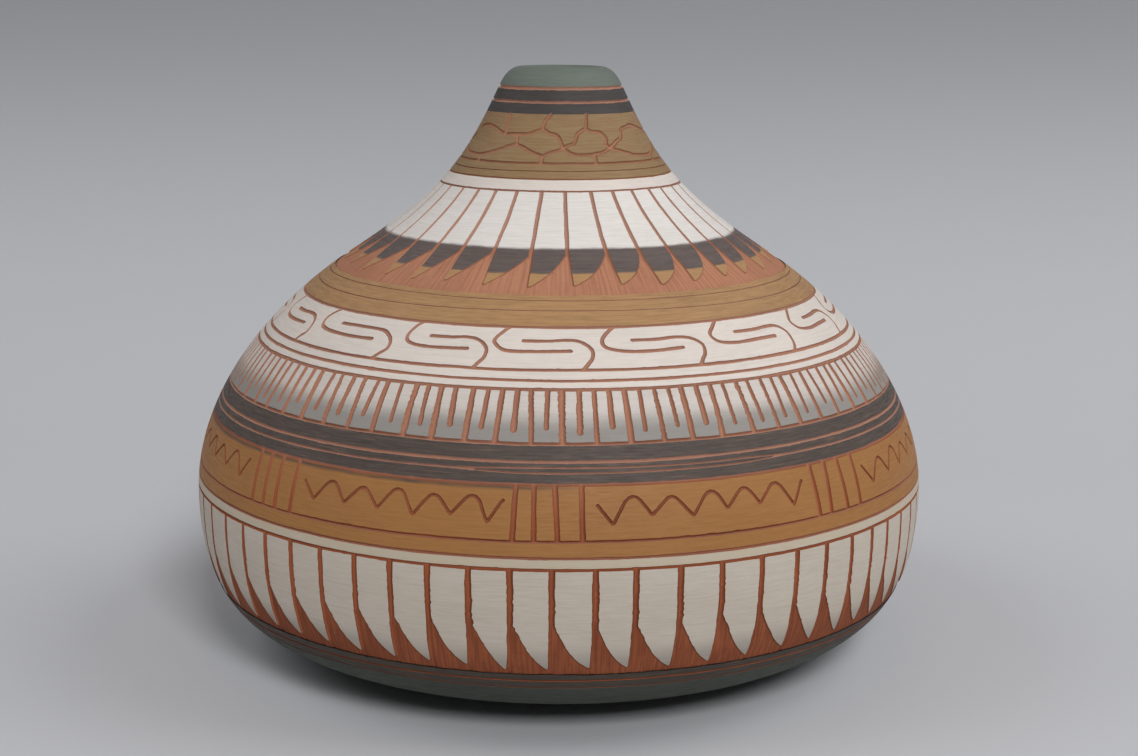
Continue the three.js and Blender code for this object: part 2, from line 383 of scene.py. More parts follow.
def lattice_noise(place, seed, steps=NO_REPEAT):
    """Smooth noise between -1 and 1, with a new value at each whole number, closed after steps."""
    values = np.random.default_rng(seed).uniform(-1, 1, steps)
    step = np.floor(place).astype(int)
    part = place - step
    ease = part * part * (3 - 2 * part)
    return values[step % steps] * (1 - ease) + values[(step + 1) % steps] * ease


def ripple(angle, waves, seed):
    """Smooth noise round the vase that closes on itself."""
    return lattice_noise(np.asarray(angle) / TURN * waves, seed, waves)


def chips(place, seed, share=0.6, steps=NO_REPEAT):
    """Noise that is zero but for bumps between 0 and 1: little chips along an edge."""
    return np.clip(lattice_noise(place, seed, steps) - share, 0, None) / (1 - share)


def level(along):
    """An edge that stays at one distance down the wall."""
    return lambda angle: np.full(np.shape(angle), along)


def spread(front, number):
    """Angles of a number of like cuts: the given ones at the front, in degrees, and the rest
    evenly spaced round the back. The first comes again at the end, one turn on."""
    front = np.radians(front)
    back = np.linspace(front[-1], front[0] + TURN, number - len(front) + 2)[1:]
    return np.concatenate([front, back])


def once_more(values):
    """A row of values with the first one repeated at the end."""
    return np.append(values, values[0])


def smooth(places, steps=8):
    """A smooth line through some places, as a spline that passes them all."""
    places = np.asarray(places, float)
    ends = np.vstack([2 * places[0] - places[1], places, 2 * places[-1] - places[-2]])
    t = np.linspace(0, 1, steps, endpoint=False)[:, None]
    line = []
    for a, b, c, d in zip(ends, ends[1:], ends[2:], ends[3:]):
        bend = 2 * a - 5 * b + 4 * c - d
        twist = 3 * b - a - 3 * c + d
        line.append(0.5 * (2 * b + (c - a) * t + bend * t**2 + twist * t**3))
    return np.vstack(line + [places[-1:]])


class Wall:
    """The finished surface of the vase as one line of radius and height, from the mouth down."""

    def __init__(self, sizes):
        mouth = np.array((sizes.mouth_radius, sizes.rim_height - sizes.lip_depth))
        crown = np.array((sizes.mouth_radius + sizes.lip_roll, sizes.rim_height))
        neck = np.array((sizes.neck_radius, sizes.rim_height - sizes.neck_drop))
        shoulder = np.array((sizes.shoulder_radius, sizes.shoulder_height))
        belly = np.array((sizes.belly_radius, sizes.belly_height))
        foot = np.array((sizes.foot_radius, 0))
        quarter = 0.55
        # Each turn of the wall: its place, its heading, and the holds before and after it.
        turns = (
            (mouth, math.pi / 2, 0, sizes.lip_depth * quarter),
            (crown, 0, sizes.lip_roll * quarter, sizes.lip_hold),
            (neck, -sizes.neck_slope, sizes.lip_hold, sizes.neck_hold),
            (shoulder, -sizes.shoulder_slope, sizes.neck_flare_hold, sizes.shoulder_hold),
            (belly, -math.pi / 2, sizes.belly_hold_above, sizes.belly_hold_below),
            (foot, math.pi + sizes.foot_slope, sizes.foot_hold, 0),
        )
        stretches = [self.bend(*ends) for ends in zip(turns, turns[1:])]
        self.line = np.vstack([stretches[0]] + [stretch[1:] for stretch in stretches[1:]])
        paces = np.hypot(*np.diff(self.line, axis=0).T)
        run = np.concatenate([[0], np.cumsum(paces)])
        self.inside_lip = run[len(stretches[0]) - 1]
        self.along = run - self.inside_lip
        self.length = self.along[-1]
        ahead = np.gradient(self.line, run, axis=0)
        self.ahead = ahead / np.hypot(*ahead.T)[:, None]

    @staticmethod
    def bend(turn, next_turn, samples=600):
        """The curve from one turn of the wall to the next."""
        start, heading, _, hold = turn
        end, end_heading, end_hold, _ = next_turn
        first = start + hold * np.array((math.cos(heading), math.sin(heading)))
        second = end - end_hold * np.array((math.cos(end_heading), math.sin(end_heading)))
        t = np.linspace(0, 1, samples)[:, None]
        u = 1 - t
        return u**3 * start + 3 * u * u * t * first + 3 * u * t * t * second + t**3 * end

    def between(self, values, along):
        """Radius and height of something known along the line, a distance down the wall."""
        return np.stack([np.interp(along, self.along, part) for part in values.T], -1)

    def heading(self, along):
        """The direction down the wall, in radius and height."""
        return self.between(self.ahead, along)

    def at(self, along, depth=0):
        """Radius and height a distance down the wall, sunk into it by a depth."""
        ahead = self.heading(along)
        inward = np.stack([ahead[..., 1], -ahead[..., 0]], -1)
        return self.between(self.line, along) + inward * np.asarray(depth)[..., None]

    def radius(self, along):
        """Radius a distance down the wall."""
        return np.interp(along, self.along, self.line[:, 0])

    def height(self, along):
        """Height a distance down the wall."""
        return float(np.interp(along, self.along, self.line[:, 1]))

    def place(self, angle, along, depth=0):
        """Points in space for places on the wall."""
        radius, height = self.at(along, depth).T
        return np.stack([radius * np.sin(angle), -radius * np.cos(angle), height], -1)

    def directions(self, angle, along):
        """Unit vectors to the right along the wall, down it and straight out of it."""
        ahead = self.heading(along)
        sin, cos = np.sin(angle), np.cos(angle)
        right = np.stack([cos, sin, np.zeros_like(sin)], -1)
        down = np.stack([ahead[:, 0] * sin, -ahead[:, 0] * cos, ahead[:, 1]], -1)
        out = np.stack([-ahead[:, 1] * sin, ahead[:, 1] * cos, ahead[:, 0]], -1)
        return right, down, out

    def reach(self, node):
        """Where a packed ring of slip starts and ends, as distances down the wall."""
        corners = np.array([vertex.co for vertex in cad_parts[node].data.vertices])
        spots = np.stack([np.hypot(corners[:, 0], corners[:, 1]), corners[:, 2]], -1)
        spots = np.unique(np.round(spots, 6), axis=0)
        gaps = np.linalg.norm(spots[:, None] - self.line[None], axis=2)
        along = self.along[gaps.argmin(1)]
        return along.min(), along.max()


class Line:
    """A groove round the vase, or, with no width, the line where two colours meet."""

    # How deep its edges are chipped, and how wide a line without chips can be.
    CHIP = 0.12 * MM
    WIDEST_SCRATCH = 0.4 * MM

    def __init__(self, along, width, seed, wander=0.12 * MM, fringe=0.0):
        self.along = along
        self.width = width
        self.seed = seed
        self.wander = wander
        self.fringe = fringe
        self.chipping = self.CHIP if width > self.WIDEST_SCRATCH else 0

    def middle(self, angle):
        """The line itself, a little uneven."""
        drift = self.wander * ripple(angle, 7, self.seed)
        return self.along + drift + self.fringe * ripple(angle, 600, self.seed + 3)

    def half(self, angle, seed):
        """Half the width, which varies a little and has a chip here and there."""
        uneven = 1 + 0.16 * ripple(angle, 60, seed) + 0.08 * ripple(angle, 310, seed + 1)
        chipped = self.chipping * chips(np.asarray(angle) / TURN * 500, seed + 2, steps=500)
        return self.width / 2 * uneven + chipped

    def above(self, angle):
        """The lower edge of the slip above the line."""
        return self.middle(angle) - self.half(angle, self.seed + 10)

    def below(self, angle):
        """The upper edge of the slip below the line."""
        return self.middle(angle) + self.half(angle, self.seed + 20)


class Ring:
    """Slip all the way round the vase, between an upper and a lower edge."""

    def __init__(self, wall, upper, lower, start=math.pi, step=0.6 * MM, spacing=SPACING):
        self.start = start
        self.radius = float(wall.radius((upper(start) + lower(start)) / 2))
        samples = int(TURN * self.radius / step) + 1
        self.angles = start + np.linspace(0, TURN, samples)
        self.upper = upper(self.angles)
        self.lower = lower(self.angles)
        self.upper[-1] = self.upper[0]
        self.lower[-1] = self.lower[0]
        self.spacing = spacing

    def outline(self):
        """The edge of the ring, laid flat and cut open at its start."""
        rows = max(2, round((self.lower[0] - self.upper[0]) / self.spacing) + 1)
        seam = np.linspace(self.upper[0], self.lower[0], rows)[1:-1]
        upper = np.stack([self.angles, self.upper], -1)
        lower = np.stack([self.angles, self.lower], -1)
        right = np.stack([np.full(len(seam), self.angles[-1]), seam], -1)
        left = np.stack([np.full(len(seam), self.angles[0]), seam], -1)
        return np.vstack([upper, right, lower[::-1], left[::-1]])

    def spots(self):
        """Places between the edges, in staggered rows, that let the sheet follow the wall."""
        rows = round((self.lower - self.upper).max() / self.spacing)
        columns = int(TURN * self.radius / self.spacing)
        spots = []
        for row in range(1, rows):
            angles = self.start + (np.arange(columns) + 0.25 + 0.5 * (row % 2)) / columns * TURN
            upper = np.interp(angles, self.angles, self.upper)
            lower = np.interp(angles, self.angles, self.lower)
            spots.append(np.stack([angles, upper + (lower - upper) * row / rows], -1))
        return np.vstack(spots) if spots else np.zeros((0, 2))

    def covers(self, places):
        """Which places lie between the edges."""
        upper = np.interp(places[:, 0], self.angles, self.upper)
        lower = np.interp(places[:, 0], self.angles, self.lower)
        round_once = (places[:, 0] > self.start) & (places[:, 0] < self.start + TURN)
        return round_once & (places[:, 1] > upper) & (places[:, 1] < lower)


def winds_round(outline, places):
    """Which places lie inside a closed outline, even where it crosses itself."""
    inside = np.zeros(len(places), bool)
    low, high = outline.min(0), outline.max(0)
    near = np.flatnonzero(((places > low) & (places < high)).all(1))
    if not len(near):
        return inside
    a, b = outline, np.roll(outline, -1, axis=0)
    p = places[near, None]
    turn = (b[:, 0] - a[:, 0]) * (p[..., 1] - a[:, 1]) - (p[..., 0] - a[:, 0]) * (b[:, 1] - a[:, 1])
    rises = (a[:, 1] <= p[..., 1]) & (b[:, 1] > p[..., 1]) & (turn > 0)
    falls = (a[:, 1] > p[..., 1]) & (b[:, 1] <= p[..., 1]) & (turn < 0)
    inside[near] = rises.sum(1) != falls.sum(1)
    return inside


class Island:
    """A small patch of slip with a closed outline."""

    def __init__(self, wall, outline):
        self.edge = np.asarray(outline, float)
        self.radius = float(wall.radius(self.edge[:, 1].mean()))
        self.start = None
        self.spacing = SPACING

    def outline(self):
        """The edge of the patch."""
        return self.edge

    def spots(self):
        """No places inside, because the patch is narrow."""
        return np.zeros((0, 2))

    def covers(self, places):
        """Which places lie on the patch."""
        return winds_round(self.edge, places)


def stroke(wall, path, width, seed, ragged=0.0, step=0.45 * MM):
    """The outline of a groove cut along a path of places, with uneven sides and round ends."""
    path = np.asarray(path, float)
    radius = float(wall.radius(path[:, 1]).mean())
    flat = path * (radius, 1)
    run = np.concatenate([[0], np.cumsum(np.hypot(*np.diff(flat, axis=0).T))])
    spots = np.linspace(0, run[-1], max(3, round(run[-1] / step) + 1))
    line = np.stack([np.interp(spots, run, part) for part in flat.T], -1)
    ahead = np.gradient(line, axis=0)
    ahead /= np.hypot(*ahead.T)[:, None]
    aside = np.stack([-ahead[:, 1], ahead[:, 0]], -1)
    sides = []
    for side in (-1, 1):
        number = seed * 2 + (side > 0)
        uneven = 1 + 0.09 * lattice_noise(spots / (3 * MM), number)
        teeth = lattice_noise(spots / (0.4 * MM), number + 5)
        half = width / 2 * uneven + ragged * teeth
        sides.append(line + side * half[:, None] * aside)
    caps = []
    for end, forward in ((-1, 1), (0, -1)):
        turn = np.linspace(-math.pi / 2, math.pi / 2, 7)[1:-1, None]
        out = forward * (ahead[end] * np.cos(turn) + aside[end] * np.sin(turn))
        caps.append(line[end] + width / 2 * out)
    outline = np.vstack([sides[0], caps[0], sides[1][::-1], caps[1]])
    return outline / (radius, 1)


class FeatherRow:
    """Where the feathers of one row are cut. A groove runs down before each feather. One side of
    a feather goes straight on down to its tip, and the other side curves across to it."""

    # For feathers that curve on their left or right side: how much further the tip lies from its
    # groove, how deep the teeth are, how blunt the tip is, and how late the straight side turns.
    STYLES = {"left": (1, 0.3 * MM, 0.12 * MM, 3), "right": (1.7, 0.06 * MM, 0.2 * MM, 1.6)}

    def __init__(self, wall, front, number, point, groove, top, tip, curved, seed):
        noise = np.random.default_rng(seed)
        further, self.teeth, self.blunt, self.bend = self.STYLES[curved]
        self.wall = wall
        self.number = number
        self.curved = curved
        self.seed = seed
        self.top = top
        self.tip = tip
        self.half = groove / 2
        self.grooves = spread(front, number)
        self.tips = once_more(tip + noise.uniform(-0.5, 0.4, number) * MM)
        self.notches = once_more(tip - point + noise.uniform(-0.8, 0.8, number) * MM)
        self.drift = further * once_more(np.radians(noise.uniform(0.5, 1.0, number)))
        self.straightness = once_more(noise.uniform(0.64, 0.84, number))
        self.power = once_more(noise.uniform(4, 5, number))
        if curved == "right":
            front_right = np.clip(2.5 * np.sin(self.grooves + 0.1), -1, 1)
            self.straightness = 0.68 - 0.32 * front_right
            self.power = np.full(number + 1, 2.8)

    def share(self, feather, down):
        """How far down its point a feather is, from 0 at the notch to 1 at the tip."""
        notch, tip = self.notches[feather], self.tips[feather]
        return np.clip((down - notch) / (tip - notch), 0, 1)

    def point(self, feather):
        """The angle of a feather's tip."""
        if self.curved == "right":
            return self.grooves[feather] + self.drift[feather]
        return self.grooves[feather + 1] - self.drift[feather]

    def side(self, feather, side):
        """The edge of a feather on one side, from above its row down to its tip."""
        tip = self.tips[feather]
        down = np.append(np.arange(self.top - 1 * MM, tip, 0.22 * MM), tip)
        share = self.share(feather, down)
        groove = self.grooves[feather + (side == "right")]
        point = self.point(feather)
        outward = 1 if side == "left" else -1
        number = self.seed + 3 * feather + (side == "right")
        uneven = 1 + 0.13 * lattice_noise(down / (3 * MM), number)
        curved = side == self.curved
        bite = chips(down / (0.7 * MM), number + 500, -0.2) * self.teeth
        fray = bite * np.clip((down - self.top) / (9 * MM), 0.2, 1) if curved else bite * 0.4
        width = (self.half * uneven + fray) / self.wall.radius(down)
        to_tip = np.clip((down - tip) / (2 * self.blunt) + 1, 0, 1)
        round_tip = np.sqrt(np.clip(1 - to_tip**2, 0, 1))
        blunt = self.blunt / self.wall.radius(down) * share**3 * round_tip
        if curved:
            straight = self.straightness[feather]
            across = straight * share + (1 - straight) * share ** self.power[feather]
            angle = groove + outward * width + (point - groove - outward * width) * across
        else:
            turned = (point - groove) * share**self.bend
            angle = groove + outward * width * (1 - share**3) + turned
        return np.stack([angle - outward * blunt, down], -1)

    def gaps(self, bottom):
        """The outline of each cut: a groove and the clay between the points on its two sides."""
        cuts = []
        for feather in range(self.number + 1):
            before = feather - 1 if feather else self.number - 1
            turned = 0 if feather else TURN
            right_edge = self.side(before, "right") - (turned, 0)
            after = feather % self.number
            left_edge = self.side(after, "left") + (self.grooves[feather] - self.grooves[after], 0)
            under = [(right_edge[-1, 0], bottom), (left_edge[-1, 0], bottom)]
            cuts.append(np.vstack([right_edge, under, left_edge[::-1]]))
        return cuts

    def groove_depth(self, angles, along):
        """How much deeper the grooves are than the scraped clay, from 0 to 1 in the middle."""
        deep = np.zeros(len(angles))
        width = self.half / float(self.wall.radius(along))
        outward = 1 if self.curved == "right" else -1
        for number in range(self.number):
            feather = number if self.curved == "right" else (number - 1) % self.number
            share = float(self.share(feather, along))
            turned = self.drift[feather] * share**self.bend - width * share**3
            centre = self.grooves[number] + outward * turned
            off = np.abs(short_way(angles - centre)) / (0.8 * width)
            deep = np.maximum(deep, np.sqrt(np.clip(1 - off * off, 0, 1)))
        return deep


class Sheet:
    """A layer of slip laid flat as triangles: the land less its cuts."""

    def __init__(self, land, cuts):
        self.land = land
        self.places, self.faces = self.cut_out(cuts)
        self.close_seam()
        self.part_touching()
        self.edges = self.boundary()

    def cut_out(self, cuts):
        """The corners and triangles of the land less its cuts."""
        land = self.land
        edge = land.outline()
        low, high = edge.min(0), edge.max(0)
        cuts = [cut for cut in cuts if (cut.max(0) > low).all() and (cut.min(0) < high).all()]
        outlines = [edge] + cuts
        flat = np.array((land.radius, 1)) / MM
        corners = np.vstack(outlines) * flat
        links = []
        first = 0
        for outline in outlines:
            ring = np.arange(len(outline)) + first
            links += zip(ring.tolist(), np.roll(ring, -1).tolist())
            first += len(outline)
        tree = KDTree(len(corners))
        for number, (x, y) in enumerate(corners):
            tree.insert((x, y, 0), number)
        tree.balance()
        clear = 0.4 * land.spacing / MM
        spots = [spot for spot in land.spots() * flat if tree.find((*spot, 0))[2] > clear]
        points = [Vector(point) for point in corners] + [Vector(spot) for spot in spots]
        found, _, faces, *_ = delaunay_2d_cdt(points, links, [], 0, 1e-6)
        places = np.array([tuple(point) for point in found]) / flat
        faces = np.array([face for face in faces if len(face) == 3])
        a, b, c = (places[faces[:, corner]] for corner in range(3))
        area = (b[:, 0] - a[:, 0]) * (c[:, 1] - a[:, 1]) - (c[:, 0] - a[:, 0]) * (b[:, 1] - a[:, 1])
        faces[area < 0] = faces[area < 0][:, ::-1]
        middles = (a + b + c) / 3
        kept = land.covers(middles) & (np.abs(area) > NO_AREA)
        for cut in cuts:
            kept &= ~winds_round(cut, middles)
        return places, faces[kept]

    def close_seam(self):
        """Joins the two borders where a ring was cut open."""
        if self.land.start is None:
            return
        left = np.flatnonzero(np.abs(self.places[:, 0] - self.land.start) < SAME_ANGLE)
        right = np.flatnonzero(np.abs(self.places[:, 0] - self.land.start - TURN) < SAME_ANGLE)
        order = left[np.argsort(self.places[left, 1])]
        swap = np.arange(len(self.places))
        for corner in right:
            gaps = np.abs(self.places[order, 1] - self.places[corner, 1])
            if gaps.min() < SAME_PLACE:
                swap[corner] = order[gaps.argmin()]
        self.faces = swap[self.faces]

    def boundary(self):
        """The open edges, each with the sheet on its left."""
        edges = np.vstack([self.faces[:, (i, (i + 1) % 3)] for i in range(3)])
        codes = edges[:, 0] * len(self.places) + edges[:, 1]
        back = edges[:, 1] * len(self.places) + edges[:, 0]
        return edges[~np.isin(codes, back)]

    def part_touching(self):
        """Gives each of two patches that meet in one point a corner of its own, and tidies up."""
        edges = self.boundary()
        corners, times = np.unique(edges[:, 0], return_counts=True)
        for corner in corners[times > 1]:
            around = np.flatnonzero((self.faces == corner).any(1))
            groups = []
            for face in around:
                others = set(self.faces[face].tolist()) - {corner}
                joined = [group for group in groups if group[0] & others]
                merged = (set.union(others, *[group[0] for group in joined]), [face])
                for group in joined:
                    merged[1].extend(group[1])
                    groups.remove(group)
                groups.append(merged)
            for _, faces in groups[1:]:
                fresh = len(self.places)
                self.places = np.vstack([self.places, self.places[corner]])
                rows = self.faces[faces]
                rows[rows == corner] = fresh
                self.faces[faces] = rows
        used, numbers = np.unique(self.faces, return_inverse=True)
        self.places = self.places[used]
        self.faces = numbers.reshape(self.faces.shape)


# The cross-section of a carved edge, a quarter of a round-bottomed groove: how far out from the
# slip's edge each step is, as a share of half the groove, how deep it is, how much the surface there
# faces sideways, and how bare its clay is. The last step goes down to the underside of the slip.
EDGE_STEPS = (
    (0.06, 0.08 * MM, 0.9, 0.6),
    (0.28, 0.22 * MM, 0.74, 0.8),
    (0.6, 0.34 * MM, 0.5, 1.0),
    (0.97, 0.43 * MM, 0.2, 1.0),
    (1.0, None, 0.1, 1.0),
)

# The steps down to this depth also round off the corners of the edge, each by this share.
EASED_DEPTH = 0.25 * MM
EASED_SHARE = 0.3

# How close to a line of colour an edge has to lie to be left without a groove.
ON_THE_LINE = 0.06 * MM


class Shell:
    """The points of a mesh as it grows, each with its normal and how bare its clay is."""

    def __init__(self):
        self.points = []
        self.normals = []
        self.bare = []
        self.total = 0

    def add(self, points, normals, bare):
        """Adds some points and gives back their numbers."""
        first = self.total
        self.total += len(points)
        self.points.append(points)
        self.normals.append(normals)
        self.bare.append(bare)
        return np.arange(first, self.total)

    def mesh(self, name, faces):
        """The finished mesh."""
        mesh = bpy.data.meshes.new(name)
        mesh.from_pydata(np.vstack(self.points).tolist(), [], faces)
        attribute = mesh.attributes.new("cut", "FLOAT", "POINT")
        attribute.data.foreach_set("value", np.concatenate(self.bare).astype(np.float32))
        mesh.polygons.foreach_set("use_smooth", np.ones(len(faces), bool))
        mesh.normals_split_custom_set_from_vertices(np.vstack(self.normals).tolist())
        mesh.update()
        return mesh


def edge_facing(wall, sheet, rim):
    """The way off the slip at each corner of a sheet's edge, and how much longer than elsewhere a
    step out is there, because two sides meet."""
    start, end = sheet.edges.T
    radius = wall.radius(sheet.places[:, 1])
    step = sheet.places[end] - sheet.places[start]
    step[:, 0] = short_way(step[:, 0]) * ((radius[start] + radius[end]) / 2)
    step /= np.hypot(*step.T)[:, None]
    aside = np.stack([step[:, 1], -step[:, 0]], -1)
    facing = np.zeros_like(sheet.places)
    np.add.at(facing, start, aside)
    np.add.at(facing, end, aside)
    length = np.maximum(np.hypot(*facing[rim].T), 1e-9)
    return facing[rim] / length[:, None], np.minimum(2 / np.maximum(length, 1.2), 1.5)


def slip_mesh(name, wall, sheets, thickness, groove, colour_lines=()):
    """Turns flat sheets into one closed mesh on the wall, with carved edges and an underside.
    The edges suit grooves of one width. Along the colour lines there is no groove."""
    shell = Shell()
    faces = []
    for sheet in sheets:
        angle, along = sheet.places.T
        radius = wall.radius(along)
        right, down, out = wall.directions(angle, along)
        top = shell.add(wall.place(angle, along), out, np.zeros(len(angle)))
        start, end = sheet.edges.T
        rim = np.unique(start)
        facing, stretch = edge_facing(wall, sheet, rim)
        plain = np.zeros(len(rim), bool)
        for line in colour_lines:
            plain |= np.abs(along[rim] - line(angle[rim])) < ON_THE_LINE
        stretch = np.where(plain, 0, stretch)
        rank = np.full(len(angle), -1)
        rank[rim] = np.arange(len(rim))
        following = np.empty(len(rim), int)
        following[rank[start]] = rank[end]
        leading = np.empty(len(rim), int)
        leading[rank[end]] = rank[start]
        rings = [top[rim]]
        spot = np.stack([angle[rim] * radius[rim], along[rim]], -1)
        eased = np.zeros_like(spot)
        for reach, depth, lean, shown in EDGE_STEPS:
            moved = facing * (reach * groove / 2 * stretch)[:, None] + eased * (1 - plain)[:, None]
            spot_angle = angle[rim] + moved[:, 0] / radius[rim]
            spot_along = along[rim] + moved[:, 1]
            spot_depth = np.full(len(rim), thickness if depth is None else depth)
            sideways = facing[:, :1] * right[rim] + facing[:, 1:] * down[rim]
            leaning = out[rim] * (1 - lean) + sideways * lean
            leaning /= np.linalg.norm(leaning, axis=1)[:, None]
            leaning = np.where(plain[:, None], out[rim], leaning)
            spots = wall.place(spot_angle, spot_along, spot_depth)
            rings.append(shell.add(spots, leaning, np.where(plain, 0, shown)))
            if depth and depth < EASED_DEPTH:
                bend = (spot[following] + spot[leading]) / 2 - spot
                bend[:, 0] = np.where(np.abs(bend[:, 0]) < MM, bend[:, 0], 0)
                eased = eased + bend * EASED_SHARE
                facing = facing * 2 + facing[following] + facing[leading]
                facing /= np.maximum(np.hypot(*facing.T), 1e-9)[:, None]
        inner = np.flatnonzero(rank < 0)
        spots = wall.place(angle[inner], along[inner], np.full(len(inner), thickness))
        bottom = np.empty(len(angle), int)
        bottom[rim] = rings[-1]
        bottom[inner] = shell.add(spots, -out[inner], np.ones(len(inner)))
        faces += top[sheet.faces[:, ::-1]].tolist()
        faces += bottom[sheet.faces].tolist()
        a, b = rank[start], rank[end]
        for upper, lower in zip(rings, rings[1:]):
            faces += np.stack([upper[a], upper[b], lower[b], lower[a]], -1).tolist()
    return shell.mesh(name, faces)


def turned_mesh(name, rows, columns, sharp=math.radians(35)):
    """A closed mesh turned about the axis. Each row is a radius and a height, or one of each for
    every column. The first and last rows lie on the axis, or the rows close on themselves."""
    angles = np.arange(columns) / columns * TURN
    sin, cos = np.sin(angles), np.cos(angles)
    points, rings = [], []
    total = 0
    for radius, height in rows:
        if np.ndim(radius) == 0 and radius == 0:
            points.append(np.array([[0, 0, height]]))
            rings.append(np.full(columns, total))
            total += 1
        else:
            z = np.broadcast_to(height, columns)
            points.append(np.stack([radius * sin, -radius * cos, z], -1))
            rings.append(np.arange(columns) + total)
            total += columns
    solid = len(set(rings[0].tolist())) == 1
    faces = []
    for upper, lower in zip(rings, rings[1:] if solid else rings[1:] + rings[:1]):
        quads = np.stack([upper, lower, np.roll(lower, -1), np.roll(upper, -1)], -1)
        for quad in quads.tolist():
            faces.append(list(dict.fromkeys(quad)))
    mesh = bpy.data.meshes.new(name)
    mesh.from_pydata(np.vstack(points).tolist(), [], faces)
    mesh.polygons.foreach_set("use_smooth", np.ones(len(faces), bool))
    mesh.set_sharp_from_angle(angle=sharp)
    mesh.update()
    return mesh


class Value:
    """A number that a shader works out, so that shader maths reads as an expression."""

    def __init__(self, finish, socket):
        self.finish = finish
        self.socket = socket

    def __add__(self, other):
        return self.finish.maths("ADD", self, other)

    def __sub__(self, other):
        return self.finish.maths("SUBTRACT", self, other)

    def __rsub__(self, other):
        return self.finish.maths("SUBTRACT", other, self)

    def __mul__(self, other):
        return self.finish.maths("MULTIPLY", self, other)

    __radd__ = __add__
    __rmul__ = __mul__


class Finish:
    """One material: its nodes, and the Principled shader that they feed."""

    def __init__(self, name, roughness):
        self.material = bpy.data.materials.new(name)
        self.material.use_nodes = True
        self.tree = self.material.node_tree
        self.tree.nodes.clear()
        sockets = {"Roughness": roughness, "Specular IOR Level": 0.3}
        shader = self.node("ShaderNodeBsdfPrincipled", {}, sockets)
        self.node("ShaderNodeOutputMaterial", {}, {"Surface": shader}, output=None)
        self.shader = shader.socket.node
        self.where = self.node("ShaderNodeTexCoord", output="Object")
        self.height = self.axis("Z")
        # How much of the slip's dust and of the painted highlight the clay beside a cut shows, from 0
        # to 1.
        self.takes_dust_and_highlight = 1

    def node(self, kind, settings=None, sockets=None, output=0):
        """Adds a node with its settings and the values or links of its sockets, and gives one of
        its outputs back, if it has any."""
        made = self.tree.nodes.new(kind)
        for key, value in (settings or {}).items():
            setattr(made, key, value)
        for key, value in (sockets or {}).items():
            if isinstance(value, Value):
                self.tree.links.new(value.socket, made.inputs[key])
            else:
                made.inputs[key].default_value = value
        return None if output is None else Value(self, made.outputs[output])

    def maths(self, operation, first, second):
        """A Math node on two numbers."""
        return self.node("ShaderNodeMath", {"operation": operation}, {0: first, 1: second})

    def axis(self, name):
        """How far a place lies along X, Y or Z."""
        return self.node("ShaderNodeSeparateXYZ", {}, {"Vector": self.where}, name)

    def angle(self):
        """The angle round the vase in radians, zero at the front and growing to the right."""
        return self.maths("ARCTAN2", self.axis("X"), self.axis("Y") * -1)

    def noise(self, stretch, detail=2.0, roughness=0.5):
        """Noise whose cells are 1 / stretch metres long in each direction."""
        sockets = {0: self.where, 1: stretch}
        stretched = self.node("ShaderNodeVectorMath", {"operation": "MULTIPLY"}, sockets)
        sockets = {"Vector": stretched, "Scale": 1.0, "Detail": detail, "Roughness": roughness}
        return self.node("ShaderNodeTexNoise", {}, sockets)

    def fade(self, value, low, high, start=0.0, end=1.0):
        """Goes smoothly from start to end as a value goes from low to high."""
        sockets = {"Value": value, 1: low, 2: high, 3: start, 4: end}
        return self.node("ShaderNodeMapRange", {"interpolation_type": "SMOOTHSTEP"}, sockets)

    def mix(self, share, first, second):
        """Goes from the first colour to the second as the share goes from 0 to 1."""
        pair = [tone if isinstance(tone, Value) else (*tone, 1) for tone in (first, second)]
        sockets = {0: share, 6: pair[0], 7: pair[1]}
        return self.node("ShaderNodeMix", {"data_type": "RGBA"}, sockets, 2)

    def feed(self, socket, value):
        """Links a value to one of the shader's sockets."""
        self.tree.links.new(value.socket, self.shader.inputs[socket])

    def bumps(self, *layers):
        """Raises the surface by layers of (height, metres)."""
        normal = None
        for height, distance in layers:
            sockets = {"Strength": 1.0, "Distance": distance, "Height": height}
            if normal:
                sockets["Normal"] = normal
            normal = self.node("ShaderNodeBump", {}, sockets)
        self.feed("Normal", normal)


def clay_tone(finish, colours, cloud):
    """Bare clay, paler on the neck and shoulder and deeper in colour towards the foot."""
    upper = finish.mix(cloud, colours.clay, colours.clay_dark)
    lower = finish.mix(cloud, colours.deep_clay, colours.deep_clay_dark)
    return finish.mix(finish.fade(finish.height, 52 * MM, 74 * MM), lower, upper)


